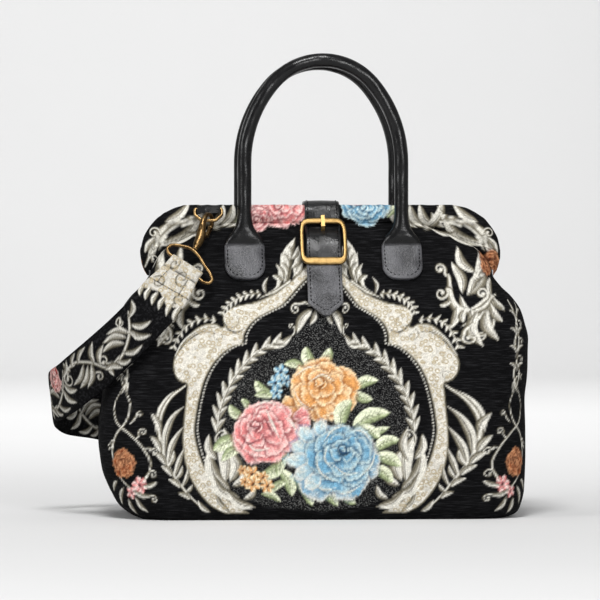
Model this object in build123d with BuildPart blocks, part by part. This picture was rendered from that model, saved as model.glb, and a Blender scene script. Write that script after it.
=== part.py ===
from build123d import *
import os
from math import cos, radians, sin, sqrt

os.makedirs("parts", exist_ok=True)

# Carpet bag with a hinged steel mouth frame.  Millimetres.
# X runs across the bag, -Y is the front, +Z is up; the origin is the middle of the base, on the floor.

# overall sizes
body_width = 380
body_depth = 180
hinge_height = 219
frame_rise = 49

# cloth and boards
cloth = 2.5
lining_cloth = 1.2
ply_gap = 0.3
board_thickness = 2.5
board_inset = 8

# mouth frame: two bent steel bars in rolled cloth casings
hinge_inset = 37
bar_thickness = 2.5
bar_width = 10
bar_clearance = 0.3
bar_corner = 38
casing_diameter = 18
casing_foot_rise = 9.5
casing_parting = 0.6
ear_radius = 6
rivet_radius = 2.5
rivet_clearance = 0.05
rivet_head_radius = 4.5
rivet_head_thickness = 1.5

# cloth shell above and below the hinge
shoulder_drop = 39
shoulder_inset = 27
rim_drop = 34
rim_back_drop = 3
seam_overhang = 0.7
lining_drop = 46
tuck = 2.9
tuck_depth = 6
notch_height = 12

# handles
handle_diameter = 12.5
core_diameter = 7
handle_spacing = 140
handle_rise = 137.5
handle_bow_radius = 109.4
handle_top_radius = 58
handle_bow_angle = 40
handle_gap = 6.45
tab_width = 36
tab_thickness = 3.2
tab_drop = 9
tab_rise = 30
tab_corner = 13
tab_lift = 0.4

# closing strap, buckle and snap
strap_width = 31
strap_thickness = 2.6
strap_lift = 4.2
strap_over_front = 1.5
strap_over_back = 0.6
strap_over_top = 0.9
strap_tip_drop = 43
strap_shoulder_drop = 30
strap_hinge_y = 1
strap_base_rise = 13
buckle_rise = 21
buckle_width = 39
buckle_length = 45
buckle_top_bar = 6.2
buckle_bottom_bar = 8
buckle_side_bar = 3.4
buckle_thickness = 3
buckle_gap = 0.3
buckle_corner = 6
pin_radius = 1.2
pin_lift = 2.5
prong_width = 3.4
prong_thickness = 1.8
prong_eye_radius = 2.4
prong_reach = 25
slot_clearance = 0.4
snap_radius = 8
snap_thickness = 1.8
snap_drop = 21

# strap rings, snap hooks and shoulder strap
ring_centre = 101.7
ring_width = 27
ring_drop = 12
ring_wire = 3
ring_lean = 32
ring_corner = 1.6
ring_tab_play = 0.1
ring_tab_height = 7
ring_tab_depth = 7
ring_rise = 5
hook_wall = 3.2
hook_thickness = 3
hook_inner_width = 10
hook_inner_length = 17.5
hook_head_room = 3.5
hook_stem_radius = 2.5
hook_twist = 0
gate_thickness = 2.4
gate_gap = 0.6
swivel_clearance = 0.05
collar_radius = 4.5
collar_length = 5
bail_wire = 3
bail_bar = 50
bail_rise = 9
sleeve_radius = 3.3
shoulder_strap_width = 45
shoulder_strap_thickness = 4

# ---------------------------------------------------------------- shared places
half_width = body_width / 2
half_depth = body_depth / 2
casing_radius = casing_diameter / 2
half_span = half_width - hinge_inset
bar_top = hinge_height + frame_rise
casing_offset = casing_radius + casing_parting / 2
seam_height = bar_top - casing_radius - ply_gap
seam_half_depth = casing_offset + casing_radius + seam_overhang
shoulder_height = hinge_height - shoulder_drop
rim_height = hinge_height - rim_drop
tab_bottom = hinge_height - tab_drop
tab_top = hinge_height + tab_rise
handle_height = bar_top + handle_rise
handle_stand_off = casing_offset + casing_radius + handle_diameter / 2 + handle_gap
strap_tip = hinge_height - strap_tip_drop
strap_shoulder = hinge_height - strap_shoulder_drop
strap_base_end = hinge_height + strap_base_rise
buckle_height = hinge_height + buckle_rise
snap_height = hinge_height - snap_drop
ring_height = bar_top + ring_rise
ring_bend = ring_corner * ring_wire / 3
ring_tab_width = ring_width - ring_wire - 2 * (ring_bend + ring_tab_play)
face_run = half_depth - shoulder_inset - seam_half_depth
face_rise = seam_height - shoulder_height
face_length = sqrt(face_run**2 + face_rise**2)
face_sin = face_run / face_length
face_cos = face_rise / face_length


def face_half_depth(level):
    """Half depth of the sloping upper face at a height."""
    return seam_half_depth + (seam_height - level) * face_run / face_rise


def corner_half_width(level):
    """Half width of the shell inside the round corner of the mouth frame."""
    inner_radius = bar_corner - casing_radius - ply_gap
    above = max(0, level - (bar_top - bar_corner))
    return half_span - bar_corner + sqrt(max(0, inner_radius**2 - above**2))


# height, half width, half depth, corner radius of the shell's level sections
lower_sections = [
    (0, half_width - 20, half_depth - 9, 34),
    (10, half_width - 7, half_depth - 2, 42),
    (45, half_width - 2, half_depth, 46),
    (hinge_height - 119, half_width - 2, half_depth - 5, 48),
    (hinge_height - 69, half_width, half_depth - 16, 46),
    (shoulder_height, half_width - 8, half_depth - shoulder_inset, 40),
    (hinge_height - 19, half_width - 25, face_half_depth(hinge_height - 19), 32),
    (hinge_height - 5, half_width - 34, face_half_depth(hinge_height - 5), 26),
]
upper_sections = [
    (level, corner_half_width(level), face_half_depth(level), corner)
    for level, corner in (
        (hinge_height + 3, 24),
        (bar_top - bar_corner, 22),
        (bar_top - 28, 20),
        (bar_top - 18, 18),
        (bar_top - 12, 16),
        (seam_height, 14),
    )
]
sections = lower_sections + upper_sections


def shell_solid(inset, low, high):
    """Solid inside the shell's outline, drawn in by an inset, between two heights."""
    levels = [low] + [row[0] for row in sections if low < row[0] < high] + [high]
    with BuildPart() as solid:
        for level in levels:
            below = max((row for row in sections if row[0] <= level), key=lambda row: row[0])
            above = min((row for row in sections if row[0] >= level), key=lambda row: row[0])
            share = 0 if below is above else (level - below[0]) / (above[0] - below[0])
            wide, deep, corner = (a + share * (b - a) for a, b in zip(below[1:], above[1:]))
            with BuildSketch(Plane.XY.offset(level)):
                RectangleRounded(2 * (wide - inset), 2 * (deep - inset), corner - inset)
        loft(ruled=True)
    return solid.part


def face_plane(side, height, lift=0):
    """Plane on the sloping face at a height: local y runs up the face, local z outwards."""
    outward = Vector(0, side * face_cos, face_sin)
    foot = Vector(0, side * face_half_depth(height), height) + outward * lift
    return Plane(origin=foot, x_dir=(-side, 0, 0), z_dir=outward)


def profile_plane(side, height, lift=0):
    """Plane across the sloping face: local x runs up the face, local y outwards."""
    flat = face_plane(side, height, lift)
    return Plane(origin=flat.origin, x_dir=flat.y_dir, z_dir=flat.x_dir)


def up_face(height, start):
    """Distance up the sloping face between two heights."""
    return (height - start) / face_cos


def write(part, name):
    """Label a finished piece and write it as its own STEP file."""
    part.label = name
    export_step(part, f"parts/{name}.step")


# ---------------------------------------------------------------- cloth shell
base_top = cloth
board_top = base_top + board_thickness
lining_floor = board_top + lining_cloth
front_wall = shell_solid(0, base_top, seam_height) - shell_solid(cloth, base_top, seam_height)
back_wall = shell_solid(tuck, rim_height - tuck_depth, seam_height) - shell_solid(
    tuck + cloth, rim_height - tuck_depth, seam_height
)
notch = Vector(hinge_inset, 2 * bar_width + 14, 2 * notch_height)

with BuildPart() as front_panel:
    add(front_wall)
    split(bisect_by=Plane.XZ, keep=Keep.TOP)
    with Locations((half_span, 0, hinge_height), (-half_span, 0, hinge_height)):
        Box(notch.X, notch.Y, notch.Z, mode=Mode.SUBTRACT)
write(front_panel.part, "front_panel")

with BuildPart() as back_panel_lower:
    add(front_wall)
    with BuildSketch(Plane.YZ):
        with BuildLine():
            Polyline(
                (0, base_top),
                (body_depth, base_top),
                (body_depth, rim_height),
                (face_half_depth(rim_height) - 2 * cloth, rim_height),
                (0, hinge_height - rim_back_drop),
                close=True,
            )
        make_face()
    extrude(amount=body_width, both=True, mode=Mode.INTERSECT)
    with Locations((half_span, 0, hinge_height), (-half_span, 0, hinge_height)):
        Box(notch.X, notch.Y, notch.Z, mode=Mode.SUBTRACT)
write(back_panel_lower.part, "back_panel_lower")

with BuildPart() as back_panel_upper:
    add(back_wall)
    with BuildSketch(Plane.YZ):
        with BuildLine():
            Polyline(
                (casing_parting / 2, hinge_height + notch_height),
                (casing_parting / 2, seam_height),
                (body_depth, seam_height),
                (body_depth, rim_height - tuck_depth),
                (face_half_depth(rim_height) - 12, rim_height - tuck_depth),
                close=True,
            )
        make_face()
    extrude(amount=body_width, both=True, mode=Mode.INTERSECT)
    with Locations((half_span, 0, hinge_height), (-half_span, 0, hinge_height)):
        Box(notch.X, notch.Y, notch.Z, mode=Mode.SUBTRACT)
write(back_panel_upper.part, "back_panel_upper")

base_panel = shell_solid(0, 0, base_top)
write(base_panel, "base_panel")

with BuildPart() as base_board:
    with BuildSketch(Plane.XY.offset(base_top)):
        wide, deep, corner = sections[0][1:]
        RectangleRounded(2 * (wide - board_inset), 2 * (deep - board_inset), corner - board_inset)
    extrude(amount=board_thickness)
write(base_board.part, "base_board")

lining_top = hinge_height - lining_drop
lining_inset = cloth + ply_gap
lining = shell_solid(lining_inset, board_top, lining_top) - shell_solid(
    lining_inset + lining_cloth, lining_floor, lining_top
)
write(lining, "lining")

# ---------------------------------------------------------------- mouth frame
back_span = half_span - bar_thickness - bar_clearance


def mouth_bar(side, span, thickness, width, foot):
    """Flat bar bent to a U, standing beside the mouth's middle plane."""
    with BuildPart() as bar:
        with BuildSketch(Plane.XZ.offset(-side * casing_offset)):
            with BuildLine():
                FilletPolyline(
                    (-span, foot), (-span, bar_top), (span, bar_top), (span, foot),
                    radius=bar_corner,
                )
            trace(line_width=thickness)
        extrude(amount=width / 2, both=True)
    return bar.part


def frame_half(side, span, hole_radius):
    """One steel half of the mouth frame with its two hinge ears."""
    reach = casing_offset + bar_width / 2
    with BuildPart() as frame:
        add(mouth_bar(side, span, bar_thickness, bar_width, hinge_height))
        for end in (-1, 1):
            with BuildSketch(Plane.YZ.offset(end * span - bar_thickness / 2)):
                with Locations((side * reach / 2, hinge_height)):
                    Rectangle(reach, 2 * ear_radius)
                with Locations((0, hinge_height)):
                    Circle(ear_radius)
                with Locations((0, hinge_height)):
                    Circle(hole_radius, mode=Mode.SUBTRACT)
            extrude(amount=bar_thickness)
    return frame.part


front_frame = frame_half(-1, half_span, rivet_radius)
back_frame = frame_half(1, back_span, rivet_radius + rivet_clearance)
write(front_frame, "front_frame")
write(back_frame, "back_frame")

for end, rivet_name in ((-1, "left_hinge_rivet"), (1, "right_hinge_rivet")):
    outer_face = half_span + bar_thickness / 2
    inner_face = back_span - bar_thickness / 2 - bar_clearance
    with BuildPart() as rivet:
        with BuildSketch(Plane.YZ.offset(end * inner_face)):
            with Locations((0, hinge_height)):
                Circle(rivet_radius)
        extrude(amount=end * (outer_face - inner_face))
        with BuildSketch(Plane.YZ.offset(end * outer_face)):
            with Locations((0, hinge_height)):
                Circle(rivet_head_radius)
        extrude(amount=end * rivet_head_thickness)
        with BuildSketch(Plane.YZ.offset(end * inner_face)):
            with Locations((0, hinge_height)):
                Circle(rivet_head_radius)
        extrude(amount=-end * rivet_head_thickness)
    write(rivet.part, rivet_name)


def mouth_casing(side, span):
    """Cloth casing rolled round one frame bar, open at both feet."""
    foot = hinge_height + casing_foot_rise
    with BuildPart() as casing:
        with BuildLine(Plane.XZ.offset(-side * casing_offset)) as route:
            FilletPolyline(
                (-span, foot), (-span, bar_top), (span, bar_top), (span, foot), radius=bar_corner
            )
        with BuildSketch(Plane(origin=route.line @ 0, z_dir=route.line % 0)):
            Circle(casing_radius)
        sweep(path=route.line)
        clear = 2 * bar_clearance
        slot = mouth_bar(side, span, bar_thickness + clear, bar_width + clear, hinge_height)
        add(slot, mode=Mode.SUBTRACT)
    return casing.part


write(mouth_casing(-1, half_span), "front_casing")
write(mouth_casing(1, back_span), "back_casing")


# ---------------------------------------------------------------- handles
def handle_route(side, lift):
    """Handle centre line: two straight legs joined by a bow of four tangent arcs."""
    leg = handle_spacing / 2
    turn = radians(handle_bow_angle)
    bow_rise = handle_bow_radius * sin(turn) + handle_top_radius * (1 - sin(turn))
    leg_top = handle_height - bow_rise
    with BuildLine(Plane.XZ.offset(-side * (handle_stand_off - lift))) as route:
        left_leg = Line((-leg, tab_bottom), (-leg, leg_top))
        left_bow = JernArc(left_leg @ 1, left_leg % 1, handle_bow_radius, -handle_bow_angle)
        left_top = JernArc(left_bow @ 1, left_bow % 1, handle_top_radius, handle_bow_angle - 90)
        right_top = JernArc(left_top @ 1, left_top % 1, handle_top_radius, handle_bow_angle - 90)
        right_bow = JernArc(right_top @ 1, right_top % 1, handle_bow_radius, -handle_bow_angle)
        Line(right_bow @ 1, right_bow @ 1 - Vector(0, 0, leg_top - tab_bottom))
    return route.line


def handle_rod(side, lift, diameter):
    """Round rod along the handle's centre line."""
    route = handle_route(side, lift)
    with BuildPart() as rod:
        with BuildSketch(Plane(origin=route @ 0, z_dir=route % 0)):
            Circle(diameter / 2)
        sweep(path=route)
    return rod.part


for side, inward, handle_name in ((-1, 0, "front_handle"), (1, tuck, "back_handle")):
    seat = face_plane(side, tab_bottom, tab_lift - inward)
    tab_length = up_face(tab_top, tab_bottom)
    drawn_in = inward / face_cos
    with BuildPart() as core:
        add(handle_rod(side, drawn_in, core_diameter))
        split(bisect_by=seat, keep=Keep.TOP)
    with BuildPart() as handle:
        add(handle_rod(side, drawn_in, handle_diameter))
        with BuildSketch(seat) as tabs:
            with Locations((-handle_spacing / 2, tab_length / 2), (handle_spacing / 2, tab_length / 2)):
                RectangleRounded(tab_width, tab_length, tab_corner)
        extrude(amount=tab_thickness)
        split(bisect_by=seat, keep=Keep.TOP)
        add(core.part, mode=Mode.SUBTRACT)
    write(handle.part, handle_name)
    write(core.part, handle_name + "_core")

# ---------------------------------------------------------------- closing strap
strap_back_y = casing_offset + casing_radius + strap_over_back
strap_rise = casing_radius + strap_over_top
over_front = [
    (
        -casing_offset + (casing_radius + strap_over_front) * cos(radians(turn)),
        bar_top + strap_rise * sin(radians(turn)),
    )
    for turn in (180, 152, 124, 96)
]
over_back = [
    (
        casing_offset + (casing_radius + strap_over_back) * cos(radians(turn)),
        bar_top + strap_rise * sin(radians(turn)),
    )
    for turn in (84, 56, 28, 0)
]


def face_point(side, height, lift):
    """Point (y, z) standing off the sloping face by a lift."""
    point = face_plane(side, height, lift).origin
    return (point.Y, point.Z)


with BuildPart() as closing_strap:
    with BuildSketch(Plane.YZ):
        with BuildLine():
            Polyline(
                face_point(-1, strap_tip, strap_lift),
                face_point(-1, buckle_height + 3, strap_lift),
                face_point(-1, buckle_height + 11, strap_lift - 1.6),
                face_point(-1, seam_height - 1, 2),
                *over_front,
                (strap_hinge_y, bar_top + strap_rise),
            )
            offset(amount=strap_thickness, side=Side.LEFT)
        make_face()
    extrude(amount=strap_width / 2, both=True)
    with BuildSketch(Plane.XZ):
        with BuildLine():
            Polyline(
                (-strap_width / 2, bar_top + 2 * casing_radius),
                (-strap_width / 2, strap_shoulder),
                (-4, strap_tip),
                (4, strap_tip),
                (strap_width / 2, strap_shoulder),
                (strap_width / 2, bar_top + 2 * casing_radius),
                close=True,
            )
        make_face()
    extrude(amount=body_depth, both=True, mode=Mode.INTERSECT)
    slot_low = -prong_eye_radius - slot_clearance
    slot_high = 15
    with BuildSketch(face_plane(-1, buckle_height)):
        with Locations((0, (slot_low + slot_high) / 2)):
            Rectangle(prong_width + 2 * slot_clearance, slot_high - slot_low)
    extrude(amount=strap_lift + 2 * strap_thickness, mode=Mode.SUBTRACT)
write(closing_strap.part, "closing_strap")

with BuildPart() as closing_strap_base:
    with BuildSketch(Plane.YZ):
        with BuildLine():
            Polyline(
                (strap_hinge_y + ply_gap, bar_top + strap_rise),
                *over_back,
                (strap_back_y, seam_height + 2),
                face_point(1, seam_height - 2, tab_lift - tuck),
                face_point(1, strap_base_end, tab_lift - tuck),
            )
            offset(amount=strap_thickness, side=Side.LEFT)
        make_face()
    extrude(amount=strap_width / 2, both=True)
write(closing_strap_base.part, "closing_strap_base")

buckle_lift = strap_lift + strap_thickness + buckle_gap
window_low = -buckle_length / 2 + buckle_bottom_bar
window_high = buckle_length / 2 - buckle_top_bar
side_centre = (buckle_width - buckle_side_bar) / 2
with BuildPart() as buckle_frame:
    with BuildSketch(face_plane(-1, buckle_height, buckle_lift)):
        RectangleRounded(buckle_width, buckle_length, buckle_corner)
        with Locations((0, (window_low + window_high) / 2)):
            RectangleRounded(
                buckle_width - 2 * buckle_side_bar, window_high - window_low, 2, mode=Mode.SUBTRACT
            )
    extrude(amount=buckle_thickness)
    with BuildSketch(face_plane(-1, buckle_height, pin_lift - pin_radius)):
        with Locations((-side_centre, 0), (side_centre, 0)):
            Rectangle(buckle_side_bar, 4 * pin_radius)
    extrude(amount=buckle_lift - pin_lift + pin_radius)
    pin_place = face_plane(-1, buckle_height, pin_lift)
    with BuildSketch(Plane(origin=pin_place.origin, x_dir=pin_place.y_dir, z_dir=(1, 0, 0))):
        Circle(pin_radius)
    extrude(amount=side_centre, both=True)
write(buckle_frame.part, "buckle_frame")

prong_lift = buckle_lift + buckle_thickness + buckle_gap
with BuildPart() as buckle_prong:
    with BuildSketch(profile_plane(-1, buckle_height)):
        with BuildLine():
            Polyline(
                (0, pin_lift - prong_thickness / 2),
                (9.5, pin_lift - prong_thickness / 2),
                (14.8, prong_lift),
                (prong_reach, prong_lift),
                (prong_reach, prong_lift + prong_thickness),
                (13.8, prong_lift + prong_thickness),
                (8.5, pin_lift + prong_thickness / 2),
                (0, pin_lift + prong_thickness / 2),
                close=True,
            )
        make_face()
        with Locations((0, pin_lift)):
            Circle(prong_eye_radius)
            Circle(pin_radius + rivet_clearance, mode=Mode.SUBTRACT)
    extrude(amount=prong_width / 2, both=True)
write(buckle_prong.part, "buckle_prong")

with BuildPart() as snap_socket:
    with BuildSketch(face_plane(-1, snap_height)):
        Circle(snap_radius)
    extrude(amount=snap_thickness)
write(snap_socket.part, "snap_socket")

with BuildPart() as snap_stud:
    with BuildSketch(face_plane(-1, snap_height, strap_lift)):
        Circle(snap_radius)
    extrude(amount=-(strap_lift - snap_thickness - buckle_gap))
write(snap_stud.part, "snap_stud")


# ---------------------------------------------------------------- strap rings and snap hooks
def turned(point, side):
    """Front-left place for side 1; its half-turn about Z, at the back right, for side -1."""
    place = Vector(*point)
    return Vector(side * place.X, side * place.Y, place.Z)


ring_y = -(casing_offset + casing_radius + ring_tab_depth / 2 + ply_gap)
lean = radians(ring_lean)
bow = Vector(-ring_centre, ring_y - ring_drop * sin(lean), ring_height - ring_drop * cos(lean))
collar = Vector(bow.X - 14, bow.Y - 20, bow.Z - 27.5)
bar_middle = collar + Vector(-7.1, -6.5, -14.3)
bar_way = Vector(0.716, -0.340, -0.609).normalized()

for side, name in ((1, "left"), (-1, "right")):
    with BuildPart() as ring_tab:
        with Locations(turned((-ring_centre, ring_y, ring_height), side)):
            Box(ring_tab_width, ring_tab_depth, ring_tab_height)
            Cylinder(
                ring_wire / 2 + rivet_clearance, ring_tab_width, rotation=(0, 90, 0), mode=Mode.SUBTRACT
            )
    write(ring_tab.part, name + "_ring_tab")

    ring_plane = Plane(
        origin=turned((-ring_centre, ring_y, ring_height), side),
        x_dir=(side, 0, 0),
        z_dir=turned((0, -cos(lean), sin(lean)), side),
    )
    inner_half = (ring_width - ring_wire) / 2
    bow_drop = ring_drop
    with BuildPart() as ring:
        with BuildLine(ring_plane) as ring_route:
            FilletPolyline(
                (-inner_half, 0), (-inner_half, -bow_drop / 2), (-inner_half / 2, -bow_drop),
                (inner_half / 2, -bow_drop), (inner_half, -bow_drop / 2), (inner_half, 0),
                radius=[ring_bend, 5, 5, 5, 5, ring_bend], close=True,
            )
        with BuildSketch(Plane(origin=ring_route.line @ 0, z_dir=ring_route.line % 0)):
            Circle(ring_wire / 2)
        sweep(path=ring_route.line)
    write(ring.part, name + "_ring")

    eye = turned(bow, side)
    down = (turned(collar, side) - eye).normalized()
    across = down.cross(Vector(0, 0, 1)).normalized()
    facing = across.rotate(Axis((0, 0, 0), down), hook_twist)
    hook_plane = Plane(origin=eye, x_dir=facing.cross(down), z_dir=facing)
    loop_width = hook_inner_width + 2 * hook_wall
    loop_length = hook_inner_length + 2 * hook_wall
    loop_middle = hook_head_room + hook_wall - loop_length / 2
    stem_length = (turned(collar, side) - eye).length + collar_length
    gate_low = -hook_inner_length + hook_head_room + 1
    gate_high = -4.5
    gate_x = -(hook_inner_width + hook_wall) / 2
    with BuildPart() as hook:
        with BuildSketch(hook_plane):
            with Locations((0, loop_middle)):
                RectangleRounded(loop_width, loop_length, loop_width / 2 - 0.5)
                RectangleRounded(
                    hook_inner_width, hook_inner_length, hook_inner_width / 2 - 0.5, mode=Mode.SUBTRACT
                )
            with Locations((gate_x, (gate_low + gate_high) / 2)):
                Rectangle(
                    hook_wall + 1, gate_high - gate_low + 2 * gate_gap, mode=Mode.SUBTRACT
                )
        extrude(amount=hook_thickness / 2, both=True)
        stem_start = eye + down * (hook_inner_length - hook_head_room + hook_wall / 2)
        with BuildSketch(Plane(origin=stem_start, z_dir=down)):
            Circle(hook_stem_radius)
        extrude(amount=stem_length - hook_inner_length + hook_head_room - hook_wall / 2)
    write(hook.part, name + "_hook")

    with BuildPart() as gate:
        with BuildSketch(hook_plane):
            with Locations((gate_x, (gate_low + gate_high) / 2)):
                Rectangle(gate_thickness, gate_high - gate_low)
        extrude(amount=hook_thickness / 2, both=True)
    write(gate.part, name + "_gate")

    middle = turned(bar_middle, side)
    way = turned(bar_way, side)
    to_collar = turned(collar, side) - middle
    bail_plane = Plane(origin=middle, x_dir=way, z_dir=way.cross(to_collar))
    rise = to_collar.dot(bail_plane.y_dir)
    lean_x = to_collar.dot(bail_plane.x_dir)
    collar_axis_top = turned(collar, side) - down * (collar_length / 2)
    with BuildPart() as bail:
        with BuildLine(bail_plane) as bail_route:
            FilletPolyline(
                (-bail_bar / 2, 0), (-bail_bar / 2, bail_rise), (lean_x - 5, rise),
                (lean_x + 5, rise), (bail_bar / 2, bail_rise), (bail_bar / 2, 0),
                radius=2.5, close=True,
            )
        with BuildSketch(Plane(origin=bail_route.line @ 0, z_dir=bail_route.line % 0)):
            Circle(bail_wire / 2)
        sweep(path=bail_route.line)
        with BuildSketch(Plane(origin=collar_axis_top, z_dir=down)):
            Circle(collar_radius)
        extrude(amount=collar_length)
        with BuildSketch(Plane(origin=collar_axis_top - down * 20, z_dir=down)):
            Circle(hook_stem_radius + swivel_clearance)
        extrude(amount=60, mode=Mode.SUBTRACT)
    write(bail.part, name + "_bail")

# ---------------------------------------------------------------- shoulder strap
# centre points from the front left bail round the left side, behind the bag, to the back right bail:
# side, distance past the body's side, face, distance past the body's face, height, and the way
# the webbing's width points there
strap_route = [
    (-1, -36.4, -1, -17, hinge_height - 34, (0.72, -0.44, -0.54)),
    (-1, 8, -1, -28, hinge_height - 78, (0.68, -0.46, -0.57)),
    (-1, 36, -1, -60, hinge_height - 103, (0.45, -0.36, -0.82)),
    (-1, 50, 1, -76, hinge_height - 116, (0.10, -0.05, -0.99)),
    (-1, 38, 1, -46, 93, (0.02, 0.02, -1.0)),
    (-1, 10, 1, -20, 87, (0.0, 0.03, -1.0)),
    (-1, -28, 1, 4, 78, (0.0, 0.03, -1.0)),
    (-1, -70, 1, 26, 56, (0.0, 0.03, -1.0)),
    (-1, -120, 1, 40, 38, (0.0, 0.03, -1.0)),
    (-1, -180, 1, 46, 30, (0.0, 0.03, -1.0)),
    (1, -140, 1, 44, 30, (0.0, 0.03, -1.0)),
    (1, -85, 1, 35, 40, (0.10, 0.06, -0.99)),
    (1, -45, 1, 22, 66, (0.35, 0.10, -0.93)),
    (1, -24, 1, 8, hinge_height - 115, (0.70, 0.05, -0.71)),
    (1, -22, 1, -4, hinge_height - 73, (0.90, -0.10, -0.42)),
    (1, -36.4, 1, -16, hinge_height - 34, (0.86, -0.36, 0.36)),
]
strap_start = bar_middle + Vector(-1.6, -0.6, -2.1)
strap_points = [(turned(strap_start, 1), turned(bar_way, 1))]
for side, past_side, face, past_face, height, width_way in strap_route:
    place = Vector(side * (half_width + past_side), face * (half_depth + past_face), height)
    strap_points.append((place, Vector(*width_way)))
strap_points.append((turned(strap_start, -1), Vector(bar_way.X, bar_way.Y, -bar_way.Z)))

strap_length = sum(
    (after - before).length
    for (before, _), (after, _) in zip(strap_points, strap_points[1:])
)
print(f"shoulder strap centre line {strap_length:.0f} mm")

with BuildPart() as shoulder_strap:
    for index, (point, width_way) in enumerate(strap_points):
        before = strap_points[max(0, index - 1)][0]
        after = strap_points[min(len(strap_points) - 1, index + 1)][0]
        run = (after - before).normalized()
        across = width_way.normalized()
        run = (run - across * run.dot(across)).normalized()
        with BuildSketch(Plane(origin=point, x_dir=across, z_dir=run)):
            Rectangle(shoulder_strap_width, shoulder_strap_thickness)
    loft(ruled=True)
    for side in (1, -1):
        bar_plane = Plane(origin=turned(bar_middle, side), z_dir=turned(bar_way, side))
        with BuildSketch(bar_plane):
            Circle(sleeve_radius)
        extrude(amount=shoulder_strap_width / 2, both=True)
    for side in (1, -1):
        bar_plane = Plane(origin=turned(bar_middle, side), z_dir=turned(bar_way, side))
        with BuildSketch(bar_plane):
            Circle(bail_wire / 2 + swivel_clearance)
        extrude(amount=shoulder_strap_width / 2 + 1, both=True, mode=Mode.SUBTRACT)
write(shoulder_strap.part, "shoulder_strap")
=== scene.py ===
from math import cos, radians, sin

import bpy
import numpy as np
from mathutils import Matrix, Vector


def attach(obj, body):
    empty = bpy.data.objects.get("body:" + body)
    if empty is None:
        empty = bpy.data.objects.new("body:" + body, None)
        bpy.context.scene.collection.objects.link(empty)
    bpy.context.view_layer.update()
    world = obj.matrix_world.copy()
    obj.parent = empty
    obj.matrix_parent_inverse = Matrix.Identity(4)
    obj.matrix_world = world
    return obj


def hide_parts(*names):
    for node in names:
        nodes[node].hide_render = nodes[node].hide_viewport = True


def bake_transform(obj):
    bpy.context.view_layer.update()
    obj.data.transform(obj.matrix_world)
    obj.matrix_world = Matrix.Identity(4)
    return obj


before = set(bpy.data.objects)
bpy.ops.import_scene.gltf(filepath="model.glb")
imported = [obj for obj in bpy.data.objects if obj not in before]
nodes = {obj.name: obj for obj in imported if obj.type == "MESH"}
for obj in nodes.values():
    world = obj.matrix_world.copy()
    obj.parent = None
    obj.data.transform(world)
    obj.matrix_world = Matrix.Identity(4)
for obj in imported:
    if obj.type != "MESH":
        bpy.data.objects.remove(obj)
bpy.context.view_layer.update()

# Tapestry carpet bag round the steel mouth frame.  Lengths below are millimetres; a mesh is put in metres at
# the end.
MM = 0.001

# ---------------------------------------------------------------- places taken from the frame
CASING_Y = 9.3
CASING_Z = 268
HANDLE_X = 70

# ---------------------------------------------------------------- fineness of the cloth and height of the base
WALL_GRID, LINING_GRID = (202, 40, 48, 300), (202, 12, 12, 60)
BASE_HEIGHT = 0.2


# ---------------------------------------------------------------- curves and meshes
def table(knots, values, at, steady=True):
    """A smooth curve through (knot, value) pairs: cubic pieces whose slope at a knot is that of its two
    neighbours. A steady curve never swings past its values: its slope is the harmonic mean of the slopes on
    both sides, or level at a turn."""
    knots, values, at = np.asarray(knots, float), np.asarray(values, float), np.asarray(at, float)
    slopes = np.gradient(values, knots)
    if steady:
        rate = np.diff(values) / np.diff(knots)
        before, after = np.append(rate[0], rate), np.append(rate, rate[-1])
        same_way = before * after > 0
        slopes = np.where(same_way, 2 * before * after / np.where(same_way, before + after, 1), 0)
    at = np.clip(at, knots[0], knots[-1])
    i = np.clip(np.searchsorted(knots, at, side="right") - 1, 0, len(knots) - 2)
    step = knots[i + 1] - knots[i]
    t = (at - knots[i]) / step
    blend = t * t * (3 - 2 * t)
    start_slope = slopes[i] * step * t * (1 - t) ** 2
    end_slope = slopes[i + 1] * step * t * t * (t - 1)
    return values[i] * (1 - blend) + values[i + 1] * blend + start_slope + end_slope


def through(points, count):
    """A smooth path of count points through the given ones, evenly spread by length; each axis is a cubic of
    the length."""
    points = np.asarray(points, float)
    steps = np.linalg.norm(np.diff(points, axis=0), axis=1)
    knots = np.concatenate([[0], np.cumsum(steps)])
    at = np.linspace(0, knots[-1], count)
    return np.stack([table(knots, points[:, k], at, False) for k in range(points.shape[1])], axis=1)


def unit(vectors):
    """The same vectors, each one long."""
    return vectors / np.maximum(np.linalg.norm(vectors, axis=-1, keepdims=True), 1e-9)


def smooth(low, high, x):
    """0 below low, 1 above high, and an even rise between them."""
    t = np.clip((x - low) / (high - low), 0, 1)
    return t * t * (3 - 2 * t)


def grid_faces(rows, columns, close_rows, close_columns, flip):
    """Four-sided faces of a grid of points; a closed direction joins its last line to its first."""
    i = np.arange(rows if close_rows else rows - 1)
    j = np.arange(columns if close_columns else columns - 1)
    i, j = np.meshgrid(i, j, indexing="ij")
    below, right = (i + 1) % rows, (j + 1) % columns
    corners = [i * columns + j, i * columns + right, below * columns + right, below * columns + j]
    faces = np.stack(corners, axis=-1).reshape(-1, 4)
    return faces[:, ::-1] if flip else faces


def halved(faces):
    """Each four-sided face as two triangles."""
    return np.vstack([faces[:, [0, 1, 2]], faces[:, [0, 2, 3]]])


def end_fans(rows, count):
    """Triangles that close a tube's two ends, each around a middle point; those two points come last."""
    ring = np.arange(count)
    onward, last = np.roll(ring, -1), (rows - 1) * count
    low_fan = np.stack([np.full(count, rows * count), ring, onward], axis=1)
    high_fan = np.stack([np.full(count, rows * count + 1), last + onward, last + ring], axis=1)
    return np.vstack([low_fan, high_fan])


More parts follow.
